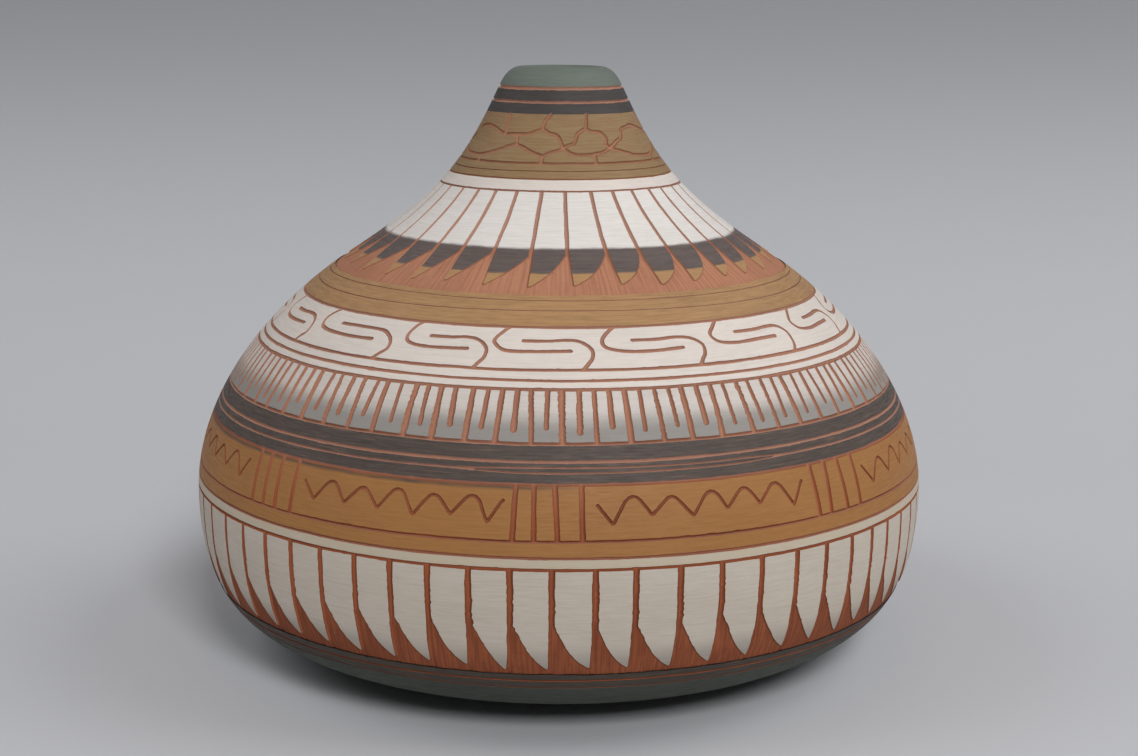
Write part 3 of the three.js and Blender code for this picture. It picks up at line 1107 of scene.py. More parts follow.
def slip_finish(name, colours, base, shade, streaks=0.5, zones=None, fleck=None, dust_and_highlight=0.4, clean=1):
    """Brushed slip, turned on the wheel: fine level streaks, soft clouds, and clay at its edges.
    dust_and_highlight is how much lighter the clay by the edges is, partly from the slip's dust and
    partly as a painted highlight of the lit groove walls, and clean how bare the carver left it."""
    roughness = 0.6
    finish = Finish(name, roughness)
    if zones:
        base, shade = zones(finish, base, shade)
    brushed = finish.noise((220, 220, 2400), 3.0, 0.6)
    hair = finish.noise((70, 70, 4200), 2.0, 0.6)
    cloud = finish.noise((50, 50, 110), 3.0)
    grain = finish.noise((2600, 2600, 2600), 1.0)
    mask = finish.fade(brushed, 0.36, 0.68) * 0.5 + finish.fade(hair, 0.4, 0.66) * 0.5
    mask = mask * streaks + finish.fade(cloud, 0.42, 0.72) * (0.25 * streaks)
    slip = finish.mix(mask, base, shade)
    if fleck:
        worn = finish.fade(finish.noise((90, 90, 2600), 3.0, 0.65), 0.56, 0.72) * 0.8
        slip = finish.mix(worn, slip, fleck)
    cut = finish.node("ShaderNodeAttribute", {"attribute_name": "cut"}, output="Fac")
    bare = finish.fade(cut + (grain - 0.5) * 0.4, 0.25, 0.5)
    # Lighter clay near the slip's edges: slip dust, and a painted highlight of the lit groove walls.
    edge_dust_and_highlight = finish.fade(cut, 0.95, 0.6, dust_and_highlight * 0.55, dust_and_highlight) * finish.takes_dust_and_highlight
    clay = finish.mix(edge_dust_and_highlight, clay_tone(finish, colours, cloud), colours.dusty_highlight_clay)
    finish.feed("Base Color", finish.mix(bare * clean, slip, clay))
    dry = finish.fade(brushed, 0.3, 0.7, roughness - 0.08, roughness + 0.1)
    finish.feed("Roughness", dry + bare * 0.2)
    finish.bumps((hair, 0.03 * MM), (brushed, 0.05 * MM), (grain, 0.03 * MM))
    return finish.material


def clay_finish(name, colours, strokes=0, painted_shade=0):
    """Bare fired clay as the carving tool leaves it: dry, grainy and a little uneven in colour.
    Scraped clay also has fine strokes down the wall, given as a number for each radian. painted_shade
    darkens the clay towards its darker tone as painted shade."""
    finish = Finish(name, 0.88)
    cloud = finish.noise((70, 70, 110), 3.0, 0.6)
    speck = finish.noise((900, 900, 900), 2.0)
    grain = finish.noise((2400, 2400, 2400), 2.0)
    share = finish.fade(cloud, 0.35, 0.7) * 0.35 + finish.fade(speck, 0.5, 0.75) * 0.25
    if strokes:
        across = finish.angle() * strokes
        place = finish.node("ShaderNodeCombineXYZ", {}, {"X": across, "Z": finish.height * 90})
        sockets = {"Vector": place, "Scale": 1.0, "Detail": 2.0}
        hatch = finish.node("ShaderNodeTexNoise", {}, sockets)
        # painted_shade pulls the clay towards its darker tone: painted shade.
        share = share * 0.6 + finish.fade(hatch, 0.34, 0.68) * 0.5 + painted_shade
    finish.feed("Base Color", clay_tone(finish, colours, share))
    finish.bumps((speck, 0.08 * MM), (grain, 0.05 * MM))
    return finish.material


def greyed(finish, vase, start, end, stretch, share, *slips):
    """Colours of slip that go grey between two distances down the wall, along a cloudy edge."""
    rough = 3 * MM
    grey_from, grey_to = vase.wall.height(start), vase.wall.height(end)
    height = finish.height + finish.noise(stretch, 2.0) * rough
    grey = finish.fade(height, grey_from + rough / 2, grey_to + rough / 2) * share
    return [finish.mix(grey, slip, vase.colours.grey) for slip in slips]


def finished(mesh, material, slot, *nodes):
    """Makes a piece from a mesh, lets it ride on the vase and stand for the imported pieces."""
    piece = bpy.data.objects.new(mesh.name, mesh)
    bpy.context.scene.collection.objects.link(piece)
    mesh.materials.append(material)
    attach(piece, "root")
    if nodes:
        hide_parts(*nodes)
    return piece


class Vase:
    """What the operators share: the settings, the wall and the lines between the rings."""

    def __init__(self, scene):
        self.sizes = scene.vase_outline
        self.carving = scene.vase_carving
        self.colours = scene.vase_colours
        self.wall = Wall(self.sizes)
        self.reaches = {node: self.wall.reach(node) for node in NODES}
        self.lines = {}
        for number, (node, _, width) in enumerate(RINGS[:-1], 1):
            along = (self.reaches[node][1] + self.reaches[NODES[number]][0]) / 2
            self.lines[node] = Line(along, width, seed=100 * number)
        for node, under, seed, wander, fringe in (
            ("shoulder_feathers", "shoulder_tan_band", 700, 0.35 * MM, 0.14 * MM),
            ("lower_feathers", "base_dark_ring_upper", 1800, 0.3 * MM, 0.1 * MM),
        ):
            self.lines[node] = Line(self.reaches[under][0], 0, seed, wander, fringe)
        carving = self.carving
        shoulder = (carving.shoulder_feathers, carving.shoulder_point, carving.shoulder_groove)
        lower = (carving.lower_feathers, carving.lower_point, carving.lower_groove)
        self.rows = {
            node: FeatherRow(self.wall, front, *sizes, *self.reaches[node], curved, seed)
            for node, front, sizes, curved, seed in (
                ("shoulder_feathers", SHOULDER_GROOVES, shoulder, "right", 21),
                ("lower_feathers", LOWER_GROOVES, lower, "left", 5),
            )
        }

    def line_above(self, node):
        """The line between a ring and the one above it, which the rim has none of."""
        number = NODES.index(node)
        return self.lines[NODES[number - 1]] if number else None

    def edges(self, node):
        """The upper and the lower edge of a ring, as distances down the wall for an angle."""
        start, end = self.reaches[node]
        above, below = self.line_above(node), self.lines.get(node)
        return above.below if above else level(start), below.above if below else level(end)

    def land(self, node, **how):
        """The whole of a ring."""
        return Ring(self.wall, *self.edges(node), **how)

    def slip(self, node, material, lands, cuts=(), groove=0.7 * MM):
        """Carves one ring of slip out of its lands and makes it a piece."""
        lines = (self.line_above(node), self.lines.get(node))
        colour_lines = [line.middle for line in lines if line and not line.width]
        sheets = [Sheet(land, list(cuts)) for land in lands]
        thickness = self.sizes.slip_thickness
        mesh = slip_mesh(node + "_carved", self.wall, sheets, thickness, groove, colour_lines)
        return finished(mesh, material, SLOTS[node], node)

    def feathers(self, node, material):
        """Carves a row of feathers and makes it a piece."""
        row = self.rows[node]
        bottom = row.tip + 0.6 * MM
        start = (row.grooves[0] + row.grooves[-2] - TURN) / 2
        land = Ring(self.wall, self.edges(node)[0], level(bottom), start=start)
        self.slip(node, material, [land], row.gaps(bottom + 1 * MM), 2 * row.half)


class VASE_OT_clay_body(bpy.types.Operator):
    """Turn the hollow clay vessel"""

    bl_idname = "vase.clay_body"
    bl_label = "Clay body"
    bl_options = {"REGISTER", "UNDO"}

    def execute(self, context):
        vase = Vase(context.scene)
        wall, sizes = vase.wall, vase.sizes
        ledge = vase.reaches["foot_slip"][1] + 0.3 * MM
        bore = sizes.mouth_radius + sizes.clay_depth
        lip = np.linspace(-wall.inside_lip, 0, 8)[:-1]
        under_slip = np.concatenate([lip, np.arange(0, ledge, 1.5 * MM), [ledge]])
        bare_foot = np.array((ledge + 0.1 * MM, wall.length - 0.8 * MM))
        outside = list(wall.at(under_slip, sizes.clay_depth)) + list(wall.at(bare_foot))
        bottom = [(sizes.foot_radius - 1 * MM, 0), (sizes.foot_radius * 0.6, 0), (0, 0)]
        inside = wall.at(np.arange(2 * MM, wall.length, 2 * MM), sizes.wall)
        inside = inside[: int(np.argmax(inside[:, 1] < sizes.floor))]
        inside[:, 0] = np.maximum(inside[:, 0], bore)
        floor = [(0, sizes.floor), (inside[-1, 0] * 0.7, sizes.floor)]
        rows = floor + list(inside[::-1]) + outside + bottom
        mesh = turned_mesh("clay_body_turned", rows[::-1], 320)
        finished(mesh, clay_finish("fired_clay", vase.colours), "fired_clay", "clay_body")
        return {"FINISHED"}


class VASE_OT_scraped_clay(bpy.types.Operator):
    """Scrape the clay round the points of both rows of feathers, in fine strokes down the wall"""

    bl_idname = "vase.scraped_clay"
    bl_label = "Scraped clay"
    bl_options = {"REGISTER", "UNDO"}

    def execute(self, context):
        vase = Vase(context.scene)
        # The lower scraped clay, which faces down under the belly, is darkened as painted shade.
        for name, node, below, painted_shade in (
            ("shoulder_scraped_clay", "shoulder_feathers", "shoulder_tan_band", 0),
            ("lower_scraped_clay", "lower_feathers", "base_dark_ring_upper", 0.45),
        ):
            bottom = vase.reaches[below][0] + 0.9 * MM
            self.ring(vase, name, vase.rows[node], bottom, painted_shade)
        return {"FINISHED"}

    def ring(self, vase, name, row, bottom, painted_shade):
        """A closed ring whose face carries the strokes and, a little deeper, the grooves."""
        sizes, wall = vase.sizes, vase.wall
        top = row.notches.min() - 1 * MM
        radius = float(wall.radius((top + bottom) / 2))
        pitch = 0.62 * MM
        per_stroke = 4
        strokes = round(TURN * radius / pitch)
        columns = strokes * per_stroke
        angles = np.arange(columns) / columns * TURN
        place = np.arange(columns) / per_stroke
        upper_marks = lattice_noise(place, 31, strokes)
        lower_marks = lattice_noise(place, 32, strokes)
        rows = []
        for along in np.linspace(top, bottom, 12):
            blend = (along - top) / (bottom - top)
            marks = (1 - blend) * upper_marks + blend * lower_marks
            sunk = max(0.0, 1 - (along - top) / (2.5 * MM))
            depth = sizes.scraped_depth + (sizes.clay_depth + 0.05 * MM - sizes.scraped_depth) * sunk
            depth = depth + 0.04 * MM * marks * (1 - sunk)
            depth = depth + 0.1 * MM * row.groove_depth(angles, along) * (1 - sunk)
            rows.append(wall.at(np.full(columns, along), depth).T)
        for along in (bottom, top):
            under = wall.at(along, sizes.slip_thickness + 0.1 * MM)
            rows.append((np.full(columns, under[0]), under[1]))
        mesh = turned_mesh(name, rows, columns)
        finished(mesh, clay_finish(name, vase.colours, radius / pitch, painted_shade), "fired_clay")


class VASE_OT_rim_slip(bpy.types.Operator):
    """Lay the grey-green slip over the lip and a little way into the mouth"""

    bl_idname = "vase.rim_slip"
    bl_label = "Rim"
    bl_options = {"REGISTER", "UNDO"}

    def execute(self, context):
        vase = Vase(context.scene)
        colours = vase.colours
        green = slip_finish("rim_green", colours, colours.green, colours.green_shade, 0.4, dust_and_highlight=0.6)
        land = vase.land("rim_slip", step=0.4 * MM, spacing=0.7 * MM)
        vase.slip("rim_slip", green, [land], groove=1 * MM)
        return {"FINISHED"}


class VASE_OT_plain_rings(bpy.types.Operator):
    """Lay the rings of slip that carry no carving of their own"""

    bl_idname = "vase.plain_rings"
    bl_label = "Plain rings"
    bl_options = {"REGISTER", "UNDO"}

    def execute(self, context):
        vase = Vase(context.scene)
        colours = vase.colours
        dark_shade, white_shade = colours.dark_shade, colours.white_shade
        looks = {
            # The green round the foot is darkened as painted shade, because the foot faces down.
            "green_slip": ("shaded_foot_green", colours.shaded_foot_green, dark_shade, 0.4, None, 0.1),
            "dark_slip": ("ring_dark", colours.dark, dark_shade, 0.6, colours.dark_fleck, 0.65),
            # The dark slip above the foot: a little browner, and darker as painted shade.
            "shaded_base_slip": ("base_dark", colours.base_dark, dark_shade, 0.6, None, 0.0),
            "white_slip": ("ring_white", colours.warm_white, white_shade, 0.4, None, 0.4),
            "cream_slip": ("ring_cream", colours.cream, white_shade, 0.5, None, 0.3),
            "ochre_slip": ("ring_ochre", colours.ochre, colours.ochre_shade, 0.7, None, 0.3),
        }
        made = {
            slot: slip_finish(name, colours, base, shade, streaks, fleck=fleck, dust_and_highlight=dust_and_highlight)
            for slot, (name, base, shade, streaks, fleck, dust_and_highlight) in looks.items()
        }
        for node in PLAIN_RINGS:
            look = made["shaded_base_slip" if node.startswith("base") else SLOTS[node]]
            vase.slip(node, look, [vase.land(node)])
        return {"FINISHED"}


class VASE_OT_neck_bands(bpy.types.Operator):
    """Lay the ochre slip of the neck, with its crackle, and the rings on both sides of it"""

    bl_idname = "vase.neck_bands"
    bl_label = "Neck crackle"
    bl_options = {"REGISTER", "UNDO"}

    def execute(self, context):
        vase = Vase(context.scene)
        colours, wall = vase.colours, vase.wall
        groove = vase.carving.crackle_groove
        start = math.radians(-175)
        cuts = self.crackle(wall, groove, start)
        olive = slip_finish(
            "neck_olive", colours, colours.olive, colours.olive_shade, 0.8, dust_and_highlight=0.1, clean=0.72
        )
        land = vase.land("neck_crackle_band", start=start, step=0.5 * MM, spacing=1.8 * MM)
        vase.slip("neck_crackle_band", olive, [land], cuts, groove)
        dark = slip_finish("neck_dark", colours, colours.neck_dark, colours.dark_shade, 0.4, dust_and_highlight=0.5)
        land = vase.land("neck_dark_ring_upper", step=0.5 * MM)
        vase.slip("neck_dark_ring_upper", dark, [land], groove=0.9 * MM)
        land = vase.land("neck_dark_ring_lower", start=start, step=0.5 * MM)
        vase.slip("neck_dark_ring_lower", dark, [land], cuts, groove)
        upper, lower = vase.edges("neck_tan_ring")
        scratch = Line(sum(vase.reaches["neck_tan_ring"]) / 2, vase.carving.scratch, seed=5000)
        lands = [Ring(wall, upper, scratch.above), Ring(wall, scratch.below, lower)]
        vase.slip("neck_tan_ring", olive, lands, groove=0.5 * MM)
        return {"FINISHED"}

    def crackle(self, wall, groove, start):
        """The lines of the crackle that don't cross the seam."""
        cuts = []
        for unit in range(-2, 2):
            for number, line in enumerate(CRACKLE):
                path = smooth([(math.radians(a + unit * CRACKLE_TURN), d * MM) for a, d in line])
                seed = 40 * (unit + 5) + number
                path[:, 1] += 0.12 * MM * lattice_noise(np.arange(len(path)) / 3, seed)
                if path[:, 0].min() > start and path[:, 0].max() < start + TURN:
                    cuts.append(stroke(wall, path, groove, seed, 0.05 * MM))
        return cuts


class VASE_OT_shoulder_feathers(bpy.types.Operator):
    """Cut the white slip of the shoulder into feathers with dark and tan points"""

    bl_idname = "vase.shoulder_feathers"
    bl_label = "Shoulder feathers"
    bl_options = {"REGISTER", "UNDO"}

    def execute(self, context):
        vase = Vase(context.scene)
        vase.feathers("shoulder_feathers", self.finish(vase))
        return {"FINISHED"}

    def finish(self, vase):
        """White slip whose points go dark and then tan, along brushed edges."""
        colours = vase.colours
        dark_from = vase.wall.height(vase.carving.shoulder_dark_from)
        tan_from = vase.wall.height(vase.carving.shoulder_tan_from)
        rough, fine = 0.6 * MM, 0.36 * MM

        def zones(finish, base, shade):
            edge = finish.noise((45, 45, 45), 2.0) * rough
            height = finish.height + edge + finish.noise((300, 300, 1200), 1.0) * fine
            off = (rough + fine) / 2
            dark = finish.fade(height, dark_from + off + 0.4 * MM, dark_from + off - 0.3 * MM)
            tan = finish.fade(height, tan_from + off + 0.2 * MM, tan_from + off - 0.2 * MM)
            worn = finish.fade(finish.noise((60, 60, 1800), 3.0, 0.65), 0.4, 0.75) * 0.35
            # No dust and no painted highlight on the clay beside the dark points.
            finish.takes_dust_and_highlight = 1 - dark
            grey = finish.mix(worn, colours.shoulder_dark, colours.dark_fleck)
            body = finish.mix(tan, finish.mix(dark, base, grey), colours.tan)
            under = finish.mix(dark, shade, colours.dark_shade)
            return body, finish.mix(tan, under, colours.tan_shade)

        return slip_finish(
            "feather_white", colours, colours.white, colours.white_shade, 0.35, zones, dust_and_highlight=0.7
        )


class VASE_OT_shoulder_tan_band(bpy.types.Operator):
    """Lay the tan band under the shoulder feathers, with two thin wandering lines"""

    bl_idname = "vase.shoulder_tan_band"
    bl_label = "Shoulder tan band"
    bl_options = {"REGISTER", "UNDO"}

    def execute(self, context):
        vase = Vase(context.scene)
        colours, wall = vase.colours, vase.wall
        start, end = vase.reaches["shoulder_tan_band"]
        upper, lower = vase.edges("shoulder_tan_band")
        lands = []
        for number, share in enumerate((0.15, 0.52)):
            along = start + share * (end - start)
            scratch = Line(along, vase.carving.scratch, 5100 + number, 0.3 * MM)
            lands.append(Ring(wall, upper, scratch.above))
            upper = scratch.below
        lands.append(Ring(wall, upper, lower))
        tan = slip_finish("shoulder_tan", colours, colours.tan, colours.tan_shade, 0.7)
        vase.slip("shoulder_tan_band", tan, lands)
        return {"FINISHED"}


class VASE_OT_scroll_band(bpy.types.Operator):
    """Cut the hooked scrolls into their white band"""

    bl_idname = "vase.scroll_band"
    bl_label = "Scrolls"
    bl_options = {"REGISTER", "UNDO"}

    def execute(self, context):
        vase = Vase(context.scene)
        colours, carving = vase.colours, vase.carving
        top = vase.reaches["scroll_band"][0]
        starts = np.degrees(spread([start for start, _ in FRONT_SCROLLS], carving.scrolls))
        noise = np.random.default_rng(7)
        cuts = []
        for number, begin in enumerate(starts[:-1]):
            stretch = noise.uniform(0.97, 1.03)
            if number < len(FRONT_SCROLLS):
                stretch = FRONT_SCROLLS[number][1]
            for which, line in enumerate((SCROLL_OUTER, SCROLL_INNER)):
                drift = noise.uniform(-0.2, 0.2, (len(line), 2))
                drift[0] = drift[-1] = 0
                places = [
                    (math.radians(begin + across * stretch + dx), top + (down + dy) * MM)
                    for (across, down), (dx, dy) in zip(line, drift)
                ]
                seed = 300 + 2 * number + which
                cut = stroke(vase.wall, smooth(places), carving.scroll_groove, seed, 0.04 * MM)
                cuts.append(cut)
        land = vase.land("scroll_band", start=math.radians(starts[0] - 4.3))
        white = slip_finish("scroll_white", colours, colours.warm_white, colours.white_shade, 0.4)
        vase.slip("scroll_band", white, [land], cuts, carving.scroll_groove)
        return {"FINISHED"}


class VASE_OT_comb_band(bpy.types.Operator):
    """Cut the comb of long and short grooves into its band"""

    bl_idname = "vase.comb_band"
    bl_label = "Comb"
    bl_options = {"REGISTER", "UNDO"}

    def execute(self, context):
        vase = Vase(context.scene)
        wall, carving = vase.wall, vase.carving
        top, bottom = vase.reaches["comb_band"]
        pitch = TURN / carving.comb_panels
        first = math.radians(COMB_TURN) - math.pi
        noise = np.random.default_rng(11)
        cuts = []
        for number in range(carving.comb_panels):
            middle = first + pitch * (number + 0.5)
            side = middle + pitch / 2
            shifts = noise.uniform(-0.35, 0.35, 4) * math.radians(1)
            widths = carving.comb_groove * noise.uniform(0.82, 1.12, 2)
            ragged = 0.05 * MM + 0.13 * MM * noise.uniform(0, 1)
            line = [(middle + shifts[0], top - 1 * MM), (middle + shifts[1], bottom + 1 * MM)]
            cuts.append(stroke(wall, line, widths[0], 600 + number, ragged, 0.22 * MM))
            end = top + carving.comb_short + noise.uniform(-0.7, 1.0) * MM
            line = [(side + shifts[2], top - 1 * MM), (side + shifts[3] * 0.7, end)]
            width = widths[1] * 0.88
            cuts.append(stroke(wall, line, width, 700 + number, ragged * 0.6, 0.28 * MM))
        land = vase.land("comb_band", start=first + pitch * 0.25)
        vase.slip("comb_band", self.finish(vase), [land], cuts, carving.comb_groove)
        return {"FINISHED"}

    def finish(self, vase):
        """White slip that goes grey, streaks too, towards the foot of the comb."""
        colours = vase.colours
        reach = (vase.carving.comb_grey_from, vase.carving.comb_grey_to)

        def zones(finish, base, shade):
            return greyed(finish, vase, *reach, (40, 40, 160), 0.85, base, shade)

        return slip_finish(
            "comb_white", colours, colours.comb_white, colours.white_shade, 0.6, zones, dust_and_highlight=0.15
        )


class VASE_OT_belly_dark_ring(bpy.types.Operator):
    """Lay the lower dark ring of the belly, with its groove that parts in two at the front"""

    bl_idname = "vase.belly_dark_ring"
    bl_label = "Belly dark ring"
    bl_options = {"REGISTER", "UNDO"}

    def execute(self, context):
        vase = Vase(context.scene)
        colours, wall = vase.colours, vase.wall
        start, end = vase.reaches["belly_dark_ring_lower"]
        upper, lower = vase.edges("belly_dark_ring_lower")
        along = start + PARTING_SHARE * (end - start)
        line = Line(along, PARTING_GROOVE, seed=5200, wander=0.15 * MM)
        gap = self.gap
        lands = [
            Ring(wall, upper, lambda angle: line.above(angle) - gap(angle) / 2),
            Ring(wall, lambda angle: line.below(angle) + gap(angle) / 2, lower),
        ]
        # Where the gap is wide and long enough, a thin strip of slip stands in it.
        samples, shortest = 2401, 8
        angles = np.linspace(-math.pi, math.pi, samples)
        room = gap(angles) / 2 - 0.1 * MM
        open_places = np.flatnonzero(room > 0.05 * MM)
        for run in np.split(open_places, np.flatnonzero(np.diff(open_places) > 1) + 1):
            if len(run) < shortest:
                continue
            centre = line.middle(angles[run])
            half = room[run] * 0.8
            top_edge = np.stack([angles[run], centre - half], -1)
            low_edge = np.stack([angles[run], centre + half], -1)
            lands.append(Island(wall, np.vstack([top_edge, low_edge[::-1]])))
        dark, shade, fleck = colours.dark, colours.dark_shade, colours.dark_fleck
        material = slip_finish("belly_dark", colours, dark, shade, 0.6, fleck=fleck, dust_and_highlight=0.65)
        vase.slip("belly_dark_ring_lower", material, lands)
        return {"FINISHED"}

    def gap(self, angle):
        """How far the two halves of the groove lie apart, none where they are one."""
        away = np.abs(short_way(angle - math.radians(PARTING_MIDDLE)))
        near = np.clip((math.radians(PARTING_HALF) - away) / math.radians(PARTING_EASE), 0, 1)
        far = np.clip(ripple(angle, 9, 77) - 0.35, 0, 1)
        return PARTING_GAP * (near * near * (3 - 2 * near) + 0.9 * far)


class VASE_OT_zigzag_band(bpy.types.Operator):
    """Cut the bars and the zigzags into the ochre band of the belly"""

    bl_idname = "vase.zigzag_band"
    bl_label = "Zigzag"
    bl_options = {"REGISTER", "UNDO"}

    def execute(self, context):
        vase = Vase(context.scene)
        wall, carving = vase.wall, vase.carving
        top, bottom = vase.reaches["zigzag_band"]
        turn = 360 / carving.bar_groups
        noise = np.random.default_rng(13)
        cuts = []
        for group in range(carving.bar_groups):
            zero = -180 + turn * group + (0.7 if group % 2 else 0)
            for bar in BARS:
                across = math.radians(zero + bar + noise.uniform(-0.25, 0.25))
                lean = math.radians(noise.uniform(-0.25, 0.25))
                path = [(across - lean, top - 1 * MM), (across + lean, bottom + 1 * MM)]
                seed = 1200 + int(noise.integers(1000))
                cuts.append(stroke(wall, path, carving.bar_groove, seed, 0.05 * MM))
            path = self.zigzag(zero + BARS[-1], turn, top, noise)
            cuts.append(stroke(wall, path, carving.zigzag_groove, 900 + group, 0.03 * MM, 0.4 * MM))
        seam = math.radians(-180 + BARS[-1] + 1.4)
        land = vase.land("zigzag_band", start=seam)
        cuts = [cut + ((TURN, 0) if cut[:, 0].mean() < seam else (0, 0)) for cut in cuts]
        # The bars and the zigzag share one form of edge, which suits a width between theirs.
        vase.slip("zigzag_band", self.finish(vase), [land], cuts, 1.1 * MM)
        return {"FINISHED"}

    def zigzag(self, last_bar, turn, top, noise):
        """A line of sharp valleys and round peaks between two groups of bars."""
        aside, down = ZIGZAG_START
        begin = last_bar + aside + noise.uniform(-0.3, 0.3)
        step = (turn - (BARS[-1] - BARS[0]) - 5.1) / (VALLEYS - 0.34)
        path = [(begin, down + noise.uniform(-0.3, 0.3))]
        for valley in range(VALLEYS):
            last = valley == VALLEYS - 1
            across = begin + 2.3 + valley * step + noise.uniform(-0.3, 0.3)
            depth = noise.uniform(*VALLEY_DEPTHS) + (1 if last or valley == 0 else 0)
            peak = noise.uniform(*PEAK_DEPTHS)
            path.append((across, depth))
            if last:
                path += [(across + aside, down) for aside, down in ZIGZAG_END]
            else:
                crest = across + step * 0.53
                path += [(crest + aside, peak + down) for aside, down in CREST]
        return [(math.radians(across), top + down * MM) for across, down in path]

    def finish(self, vase):
        """Ochre slip with a dark stain along its upper edge, left of the front."""
        colours = vase.colours
        edge = vase.wall.height(vase.reaches["zigzag_band"][0] + 0.15 * MM)

        def zones(finish, base, shade):
            around = finish.angle()
            patch = finish.fade(around, 0.1, -0.1) * finish.fade(around, -2.6, -2.2)
            rough = finish.noise((160, 160, 400), 2.0) * (0.5 * MM)
            stain = finish.fade(finish.height + rough, edge - 0.5 * MM, edge + 0.3 * MM)
            return finish.mix(stain * patch * 0.95, base, colours.neck_dark), shade

        return slip_finish(
            "belly_ochre", colours, colours.ochre, colours.ochre_shade, 0.7, zones, dust_and_highlight=0
        )


class VASE_OT_lower_feathers(bpy.types.Operator):
    """Cut the white slip of the belly into feathers with curved points"""

    bl_idname = "vase.lower_feathers"
    bl_label = "Lower feathers"
    bl_options = {"REGISTER", "UNDO"}

    def execute(self, context):
        vase = Vase(context.scene)
        vase.feathers("lower_feathers", self.finish(vase))
        return {"FINISHED"}

    def finish(self, vase):
        """White slip that goes grey towards the tips."""
        colours = vase.colours
        reach = (vase.carving.lower_grey_from, vase.carving.lower_grey_to)

        def zones(finish, base, shade):
            return *greyed(finish, vase, *reach, (60, 60, 200), 0.75, base), shade

        # Its white and streaks are greyer and creamier than the white above, and darkened as painted
        # shade.
        return slip_finish(
            "creamy_shaded_white", colours, colours.creamy_shaded_white, colours.creamy_shaded_streaks, 0.55, zones, dust_and_highlight=0
        )


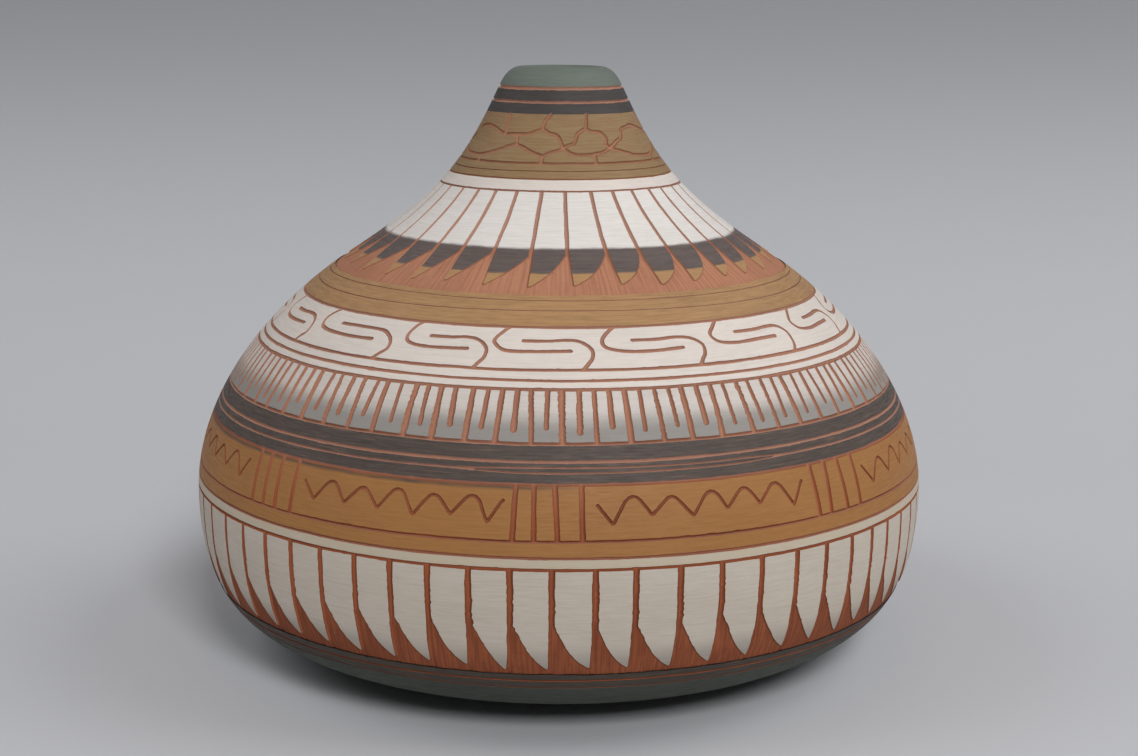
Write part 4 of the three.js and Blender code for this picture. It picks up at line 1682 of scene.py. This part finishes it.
class VASE_OT_stage(bpy.types.Operator):
    """Set up the floor with its curved backdrop, the soft light and the camera"""

    bl_idname = "vase.stage"
    bl_label = "Stage and camera"
    bl_options = {"REGISTER", "UNDO"}

    def execute(self, context):
        stage = context.scene.vase_stage
        self.backdrop(context.scene, stage)
        self.lights(context.scene, stage)
        self.camera(context.scene)
        context.scene.view_settings.view_transform = "Standard"
        return {"FINISHED"}

    def backdrop(self, scene, stage):
        """A floor of pale paper that curves up behind the vase, darkened towards its top as painted
        shade.
        """
        width, front, bend_start, bend, top = 3.5, -3.0, 0.15, 0.9, 3.0
        darkest_from = 0.2
        turn = np.linspace(0, math.pi / 2, 49)
        curve = [(bend_start + bend * math.sin(a), bend - bend * math.cos(a)) for a in turn]
        profile = [(front, 0.0)] + curve + [(bend_start + bend, top)]
        points = [(x, y, z) for y, z in profile for x in (-width, width)]
        faces = [(2 * i, 2 * i + 1, 2 * i + 3, 2 * i + 2) for i in range(len(profile) - 1)]
        mesh = bpy.data.meshes.new("backdrop")
        mesh.from_pydata(points, [], faces)
        mesh.polygons.foreach_set("use_smooth", np.ones(len(faces), bool))
        finish = Finish("backdrop_paper", 0.9)
        fibre = finish.noise((300, 300, 300), 3.0) * 0.04
        # The paper goes from the floor's colour to a darker one upwards: painted shade.
        share = finish.fade(finish.height, 0.0, darkest_from) + fibre
        finish.feed("Base Color", finish.mix(share, stage.floor, stage.shaded_paper_top))
        mesh.materials.append(finish.material)
        backdrop = bpy.data.objects.new("backdrop", mesh)
        scene.collection.objects.link(backdrop)

    def lights(self, scene, stage):
        """A soft lamp in front, a wide one on each side, and a little light from all round."""
        middle = Vector((0, 0, 0.06))
        for name, spot, watts, width in (
            ("front_lamp", stage.front_lamp, stage.front_power, stage.front_width),
            ("right_lamp", stage.right_lamp, stage.right_power, stage.side_width),
            ("left_lamp", stage.left_lamp, stage.left_power, stage.side_width),
        ):
            lamp = bpy.data.lights.new(name, "AREA")
            lamp.shape = "SQUARE"
            lamp.size = width
            lamp.energy = watts
            placed = bpy.data.objects.new(name, lamp)
            placed.location = spot
            aim = middle - placed.location
            placed.rotation_euler = aim.to_track_quat("-Z", "Y").to_euler()
            scene.collection.objects.link(placed)
        world = bpy.data.worlds.new("studio")
        world.use_nodes = True
        background = world.node_tree.nodes["Background"]
        background.inputs["Color"].default_value = (1, 1, 1, 1)
        background.inputs["Strength"].default_value = stage.fill
        scene.world = world

    def camera(self, scene):
        """The photograph's viewpoint: almost level with the rim, looking a little down."""
        camera = bpy.data.cameras.new("camera")
        camera.sensor_width = CAMERA_SENSOR
        camera.lens = CAMERA_LENS
        placed = bpy.data.objects.new("camera", camera)
        tilt = Matrix.Rotation(math.pi / 2 - CAMERA_PITCH, 4, "X")
        turn = tilt @ Matrix.Rotation(CAMERA_ROLL, 4, "Z")
        placed.matrix_world = Matrix.Translation(CAMERA_SPOT) @ turn
        scene.collection.objects.link(placed)
        scene.camera = placed


PIECES = (
    VASE_OT_clay_body,
    VASE_OT_scraped_clay,
    VASE_OT_rim_slip,
    VASE_OT_plain_rings,
    VASE_OT_neck_bands,
    VASE_OT_shoulder_feathers,
    VASE_OT_shoulder_tan_band,
    VASE_OT_scroll_band,
    VASE_OT_comb_band,
    VASE_OT_belly_dark_ring,
    VASE_OT_zigzag_band,
    VASE_OT_lower_feathers,
)


class VASE_PT_panel(bpy.types.Panel):
    """The vase's sizes and the buttons that make its pieces"""

    bl_idname = "VASE_PT_panel"
    bl_label = "Carved Vase"
    bl_space_type = "VIEW_3D"
    bl_region_type = "UI"
    bl_category = "Vase"

    def draw(self, context):
        scene = context.scene
        for group in (scene.vase_outline, scene.vase_carving, scene.vase_colours, scene.vase_stage):
            column = self.layout.column(align=True)
            for name in group.bl_rna.properties.keys():
                if name not in ("rna_type", "name"):
                    column.prop(group, name)
        for operator in PIECES + (VASE_OT_stage,):
            self.layout.operator(operator.bl_idname)


GROUPS = {
    "vase_outline": VaseOutline,
    "vase_carving": VaseCarving,
    "vase_colours": VaseColours,
    "vase_stage": VaseStage,
}
CLASSES = tuple(GROUPS.values()) + PIECES + (VASE_OT_stage, VASE_PT_panel)


def register():
    for item in CLASSES:
        bpy.utils.register_class(item)
    for name, group in GROUPS.items():
        setattr(bpy.types.Scene, name, PointerProperty(type=group))


def unregister():
    for name in GROUPS:
        delattr(bpy.types.Scene, name)
    for item in reversed(CLASSES):
        bpy.utils.unregister_class(item)


def main():
    register()
    for operator in PIECES + (VASE_OT_stage,):
        family, name = operator.bl_idname.split(".")
        getattr(getattr(bpy.ops, family), name)()


if __name__ == "__main__":
    main()
